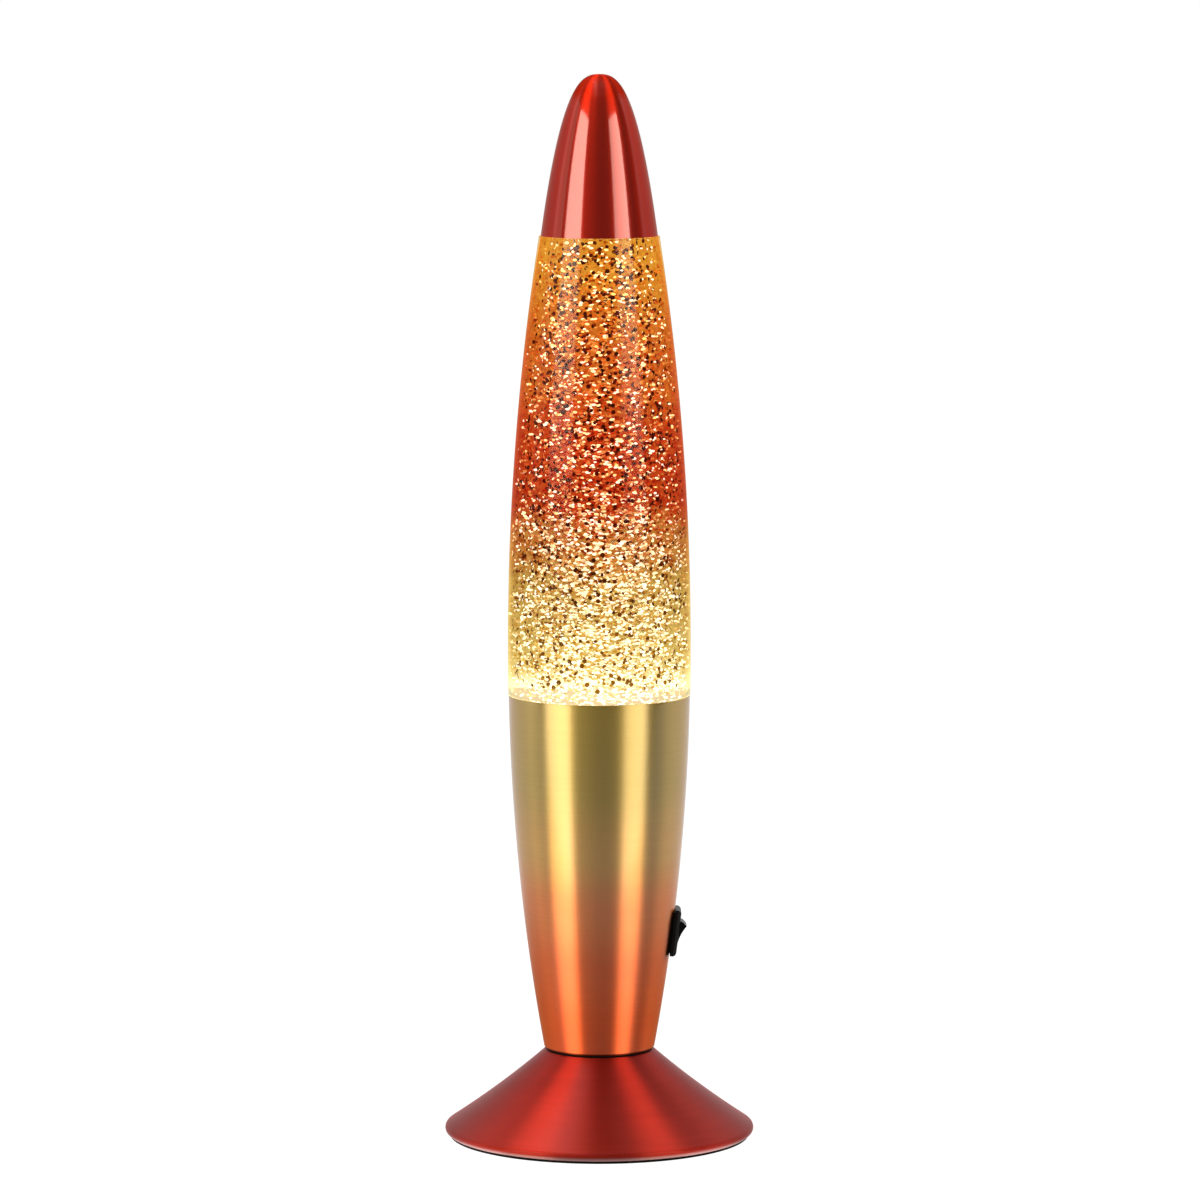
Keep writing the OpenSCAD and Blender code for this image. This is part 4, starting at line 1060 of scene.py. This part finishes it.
outward = add(group, "ShaderNodeCombineXYZ", {0: out_x, 1: out_y}).outputs[0]
wobble_seed = calc(group, "ADD", given["Seed"], 3)
wobble = add(group, "FunctionNodeRandomValue", {0: (-1, -1, -1), 1: (1, 1, 1), "Seed": wobble_seed},
             data_type="FLOAT_VECTOR").outputs[0]
lean = add(group, "ShaderNodeVectorMath", {0: wobble, "Scale": given["Lean"]}, operation="SCALE").outputs[0]
facing = add(group, "ShaderNodeVectorMath", {0: outward, 1: lean}, operation="ADD").outputs[0]
turned = add(group, "FunctionNodeAlignRotationToVector", {"Vector": facing}, axis="Z").outputs[0]
sideways = add(group, "ShaderNodeCombineXYZ", {
    0: calc(group, "MULTIPLY", out_y, -1.0), 1: out_x}).outputs[0]
turned = add(group, "FunctionNodeAlignRotationToVector", {"Rotation": turned, "Vector": sideways},
             axis="X", pivot_axis="Z").outputs[0]
scale = chance(4, *SIZE_RANGE)
spread = add(group, "ShaderNodeCombineXYZ", {
    0: calc(group, "MULTIPLY", scale, given["Stretch"]),
    1: calc(group, "DIVIDE", scale, given["Stretch"]),
    2: scale}).outputs[0]
disc = add(group, "GeometryNodeMeshCylinder", {
    "Vertices": SIDES, "Radius": given["Flake Radius"], "Depth": given["Thickness"]},
    fill_type="NGON").outputs["Mesh"]
swarm = add(group, "GeometryNodeInstanceOnPoints", {
    "Points": points, "Instance": disc, "Rotation": turned, "Scale": spread}).outputs[0]
toned = add(group, "GeometryNodeStoreNamedAttribute", {
    "Geometry": swarm, "Name": "tone", "Value": chance(5)}, data_type="FLOAT", domain="INSTANCE").outputs[0]
real = add(group, "GeometryNodeRealizeInstances", {"Geometry": toned}).outputs[0]
done = add(group, "GeometryNodeSetMaterial", {"Geometry": real, "Material": given["Finish"]}).outputs[0]
group.links.new(done, result["Geometry"])
glitter_swarm = group
print("tree:", glitter_swarm.name)

# %% [markdown]
# ## The glitter's finishes
# The bulb's light on the flakes is painted. Some flakes catch the bulb and flash white as painted glints,
# most have a painted glow in the colour of the liquid round them, and those that turn their unlit side are
# painted dark as shade. Each kind is a swarm of its own with its own finish, and one more white swarm lies
# low, over the bulb, as painted light from it. The finish mixes two tones over the height by the flake's
# random number, and glows with the same colour.


# %% Glitter finishes
def flake_material(name, plain, strong, glow):
    """A film flake between two tones over the height, by its random number; its glow is painted bulb light.
    """
    material, shader = new_material(name)
    tree = material.node_tree
    height = use_group(tree, swirled)["Height"]
    tone = add(tree, "ShaderNodeAttribute", attribute_name="tone").outputs["Fac"]
    colour = blend(tree, tone, ramp(tree, height, plain), ramp(tree, height, strong))
    fill(tree, shader, {"Base Color": colour, "Emission Color": colour, "Emission Strength": glow,
                        "Roughness": 0.5, "Specular IOR Level": 0.1})
    return material


# Painted light: glow is the bulb's light painted on each swarm; the white swarms are painted glints and the
# dark swarm is painted shade.
SWARMS = {
    "glitter_white": dict(plain=FLASH, strong=WHITE, glow=1.3, count=2200, low=0.03, high=1.0,
                          gather=1.2, wall_share=0.35, lean=0.7, size=0.53, stretch=1.35),
    "glitter_yellow": dict(plain=LIGHT, strong=FLASH, glow=0.45, count=3000, low=0.035, high=1.0,
                           gather=1.5, wall_share=0.45, lean=0.9, size=0.54, stretch=1.3),
    "glitter_orange": dict(plain=MID, strong=LIGHT, glow=0.45, count=3000, low=0.04, high=1.0,
                           gather=1.4, wall_share=0.45, lean=0.9, size=0.54, stretch=1.2),
    "glitter_red": dict(plain=DEEP, strong=MID, glow=0.35, count=2300, low=0.05, high=1.0,
                        gather=1.2, wall_share=0.4, lean=0.9, size=0.54, stretch=1.2),
    "glitter_dark": dict(plain=DARK, strong=SHADE, glow=0.1, count=1700, low=0.06, high=1.0,
                         gather=1.1, wall_share=0.22, lean=0.4, size=0.72, stretch=1.0),
    "glitter_foot": dict(plain=FLASH, strong=WHITE, glow=0.8, count=2000, low=0.0, high=0.46,
                         gather=1.6, wall_share=0.4, lean=0.8, size=0.55, stretch=1.45),
}
print("glitter:", sum(kind["count"] for kind in SWARMS.values()), "flakes in", len(SWARMS), "swarms")

# %% Glitter swarms
FIRST_SEED = 11
SEED_STEP = 10
FLAKE_THICKNESS = 0.06 * MM
flake_low = glass_low.z + floor_t + 1.2 * MM
flake_high = shoulder_z - shoulder_wall - 0.8 * MM
flake_span = flake_high - flake_low

for number, (name, kind) in enumerate(SWARMS.items()):
    finish = flake_material(name, kind["plain"], kind["strong"], kind["glow"])
    mesh = grow(name, glitter_swarm, count=kind["count"], seed=FIRST_SEED + SEED_STEP * number,
                flake_radius=kind["size"] * MM, thickness=FLAKE_THICKNESS,
                low=flake_low + kind["low"] * flake_span, high=flake_low + kind["high"] * flake_span,
                gather=kind["gather"], wall_share=kind["wall_share"], lean=kind["lean"],
                stretch=kind["stretch"], finish=finish)
    place(name, mesh, "bottle", "glitter", "glitter_flakes")

# %% [markdown]
# ## The other finishes
# The small pieces keep their solids, because their shapes are right, and take finishes made for them:
# moulded black plastic, rubber, foam, brass, plated steel, glazed ceramic and glass. One grain group
# gives them all fine unevenness in colour and surface, each at its own scale.

# %% Grain group
MOTTLE_SCALE = 0.15

group, given, result = open_group(
    "fine_grain", "ShaderNodeTree",
    [("Scale", FLOAT, 900.0)], [("Grain", FLOAT), ("Mottle", FLOAT)])
spot = add(group, "ShaderNodeTexCoord").outputs["Object"]
grain = add(group, "ShaderNodeTexNoise", {"Vector": spot, "Scale": given["Scale"], "Detail": 3.0})
coarse = calc(group, "MULTIPLY", given["Scale"], MOTTLE_SCALE)
mottle = add(group, "ShaderNodeTexNoise", {"Vector": spot, "Scale": coarse, "Detail": 2.0})
group.links.new(grain.outputs["Fac"], result["Grain"])
group.links.new(mottle.outputs["Fac"], result["Mottle"])
grained = group
print("group:", grained.name)

# %% Small finishes
TONE_ENDS = (0.3, 0.7)
WEAR = 0.06
GRAIN_DEPTH = 0.05 * MM


def moulded(name, dark, light, rough, bump, scale=900.0, metal=0.0, shine=0.5):
    """A small part's finish: colour between two tones, with an uneven, slightly grained surface."""
    material, shader = new_material(name)
    tree = material.node_tree
    marks = use_group(tree, grained, Scale=scale)
    fill(tree, shader, {
        "Base Color": ramp(tree, marks["Mottle"], list(zip(TONE_ENDS, (dark, light)))),
        "Roughness": remap(tree, marks["Mottle"], 0.0, 1.0, rough - WEAR, rough + WEAR),
        "Normal": tilt(tree, marks["Grain"], bump, GRAIN_DEPTH),
        "Metallic": metal,
        "Specular IOR Level": shine})
    return material, shader


SMALL_FINISHES = {
    "foam": dict(dark=(0.003, 0.003, 0.003), light=(0.008, 0.008, 0.008), rough=0.9, bump=0.8,
                 scale=1500, shine=0.1),
    "black_rubber": dict(dark=(0.002, 0.002, 0.002), light=(0.005, 0.004, 0.004), rough=0.7, bump=0.4,
                         shine=0.05),
    "seal_rubber": dict(dark=(0.5, 0.46, 0.38), light=(0.62, 0.58, 0.5), rough=0.6, bump=0.3),
    "switch_black": dict(dark=(0.002, 0.002, 0.002), light=(0.004, 0.003, 0.003), rough=0.36, bump=0.15,
                         scale=1800, shine=0.12),
    "paddle_black": dict(dark=(0.002, 0.002, 0.002), light=(0.004, 0.003, 0.004), rough=0.28, bump=0.1,
                         scale=1800, shine=0.12),
    "white_plastic": dict(dark=(0.72, 0.71, 0.67), light=(0.8, 0.79, 0.76), rough=0.45, bump=0.15),
    "lead_jacket": dict(dark=(0.28, 0.03, 0.02), light=(0.36, 0.05, 0.03), rough=0.4, bump=0.1),
    "ceramic": dict(dark=(0.76, 0.73, 0.65), light=(0.84, 0.81, 0.74), rough=0.25, bump=0.2, scale=500),
    "brass": dict(dark=(0.62, 0.44, 0.17), light=(0.74, 0.56, 0.25), rough=0.28, bump=0.15, scale=1200,
                  metal=1.0),
    "steel": dict(dark=(0.52, 0.52, 0.5), light=(0.64, 0.64, 0.62), rough=0.34, bump=0.2, scale=1200,
                  metal=1.0),
    "filament": dict(dark=(0.3, 0.28, 0.26), light=(0.4, 0.38, 0.34), rough=0.4, bump=0.2, scale=2000,
                     metal=1.0),
    "bulb_black": dict(dark=(0.012, 0.012, 0.014), light=(0.03, 0.03, 0.034), rough=0.12, bump=0.05),
}
finishes = {name: moulded(name, **values)[0] for name, values in SMALL_FINISHES.items()}
print("finishes:", ", ".join(finishes))

# %% [markdown]
# ## The bulb
# The bulb is lit: its frosted dome glows warm white, and the glow fades out down its mirrored sides. Its
# stem is clear glass. With these two the list of finishes is complete, and each solid that is still shown
# takes the finish that the record names for it.

# %% Bulb and the solids
BULB_GLOW = 2.5
BULB_LIGHT = [(0.45, (0.05, 0.045, 0.04)), (0.75, (1.0, 0.82, 0.5)), (1.0, (1.0, 0.9, 0.66))]

stem_glass, shader = moulded("stem_glass", (0.86, 0.9, 0.89), (0.95, 0.97, 0.96), rough=0.1, bump=0.05)
shader.inputs["Transmission Weight"].default_value = 1.0
finishes["stem_glass"] = stem_glass

bulb_glass, shader = moulded("bulb_glass", (0.9, 0.86, 0.74), (0.97, 0.94, 0.86), rough=0.35, bump=0.1)
tree = bulb_glass.node_tree
bulb_low, bulb_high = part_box("bulb_envelope")
lit = ramp(tree, along_z(tree, bulb_low.z, bulb_high.z), BULB_LIGHT)
fill(tree, shader, {"Emission Color": lit, "Emission Strength": BULB_GLOW})
finishes["bulb_glass"] = bulb_glass

for row in frame["record"]["subparts"]:
    solid = frame["nodes"][row["node"]]
    if row["material_slot"] in finishes and not solid.hide_render:
        for slot in solid.material_slots:
            slot.material = finishes[row["material_slot"]]
print("finishes:", len(finishes), "on the small pieces")
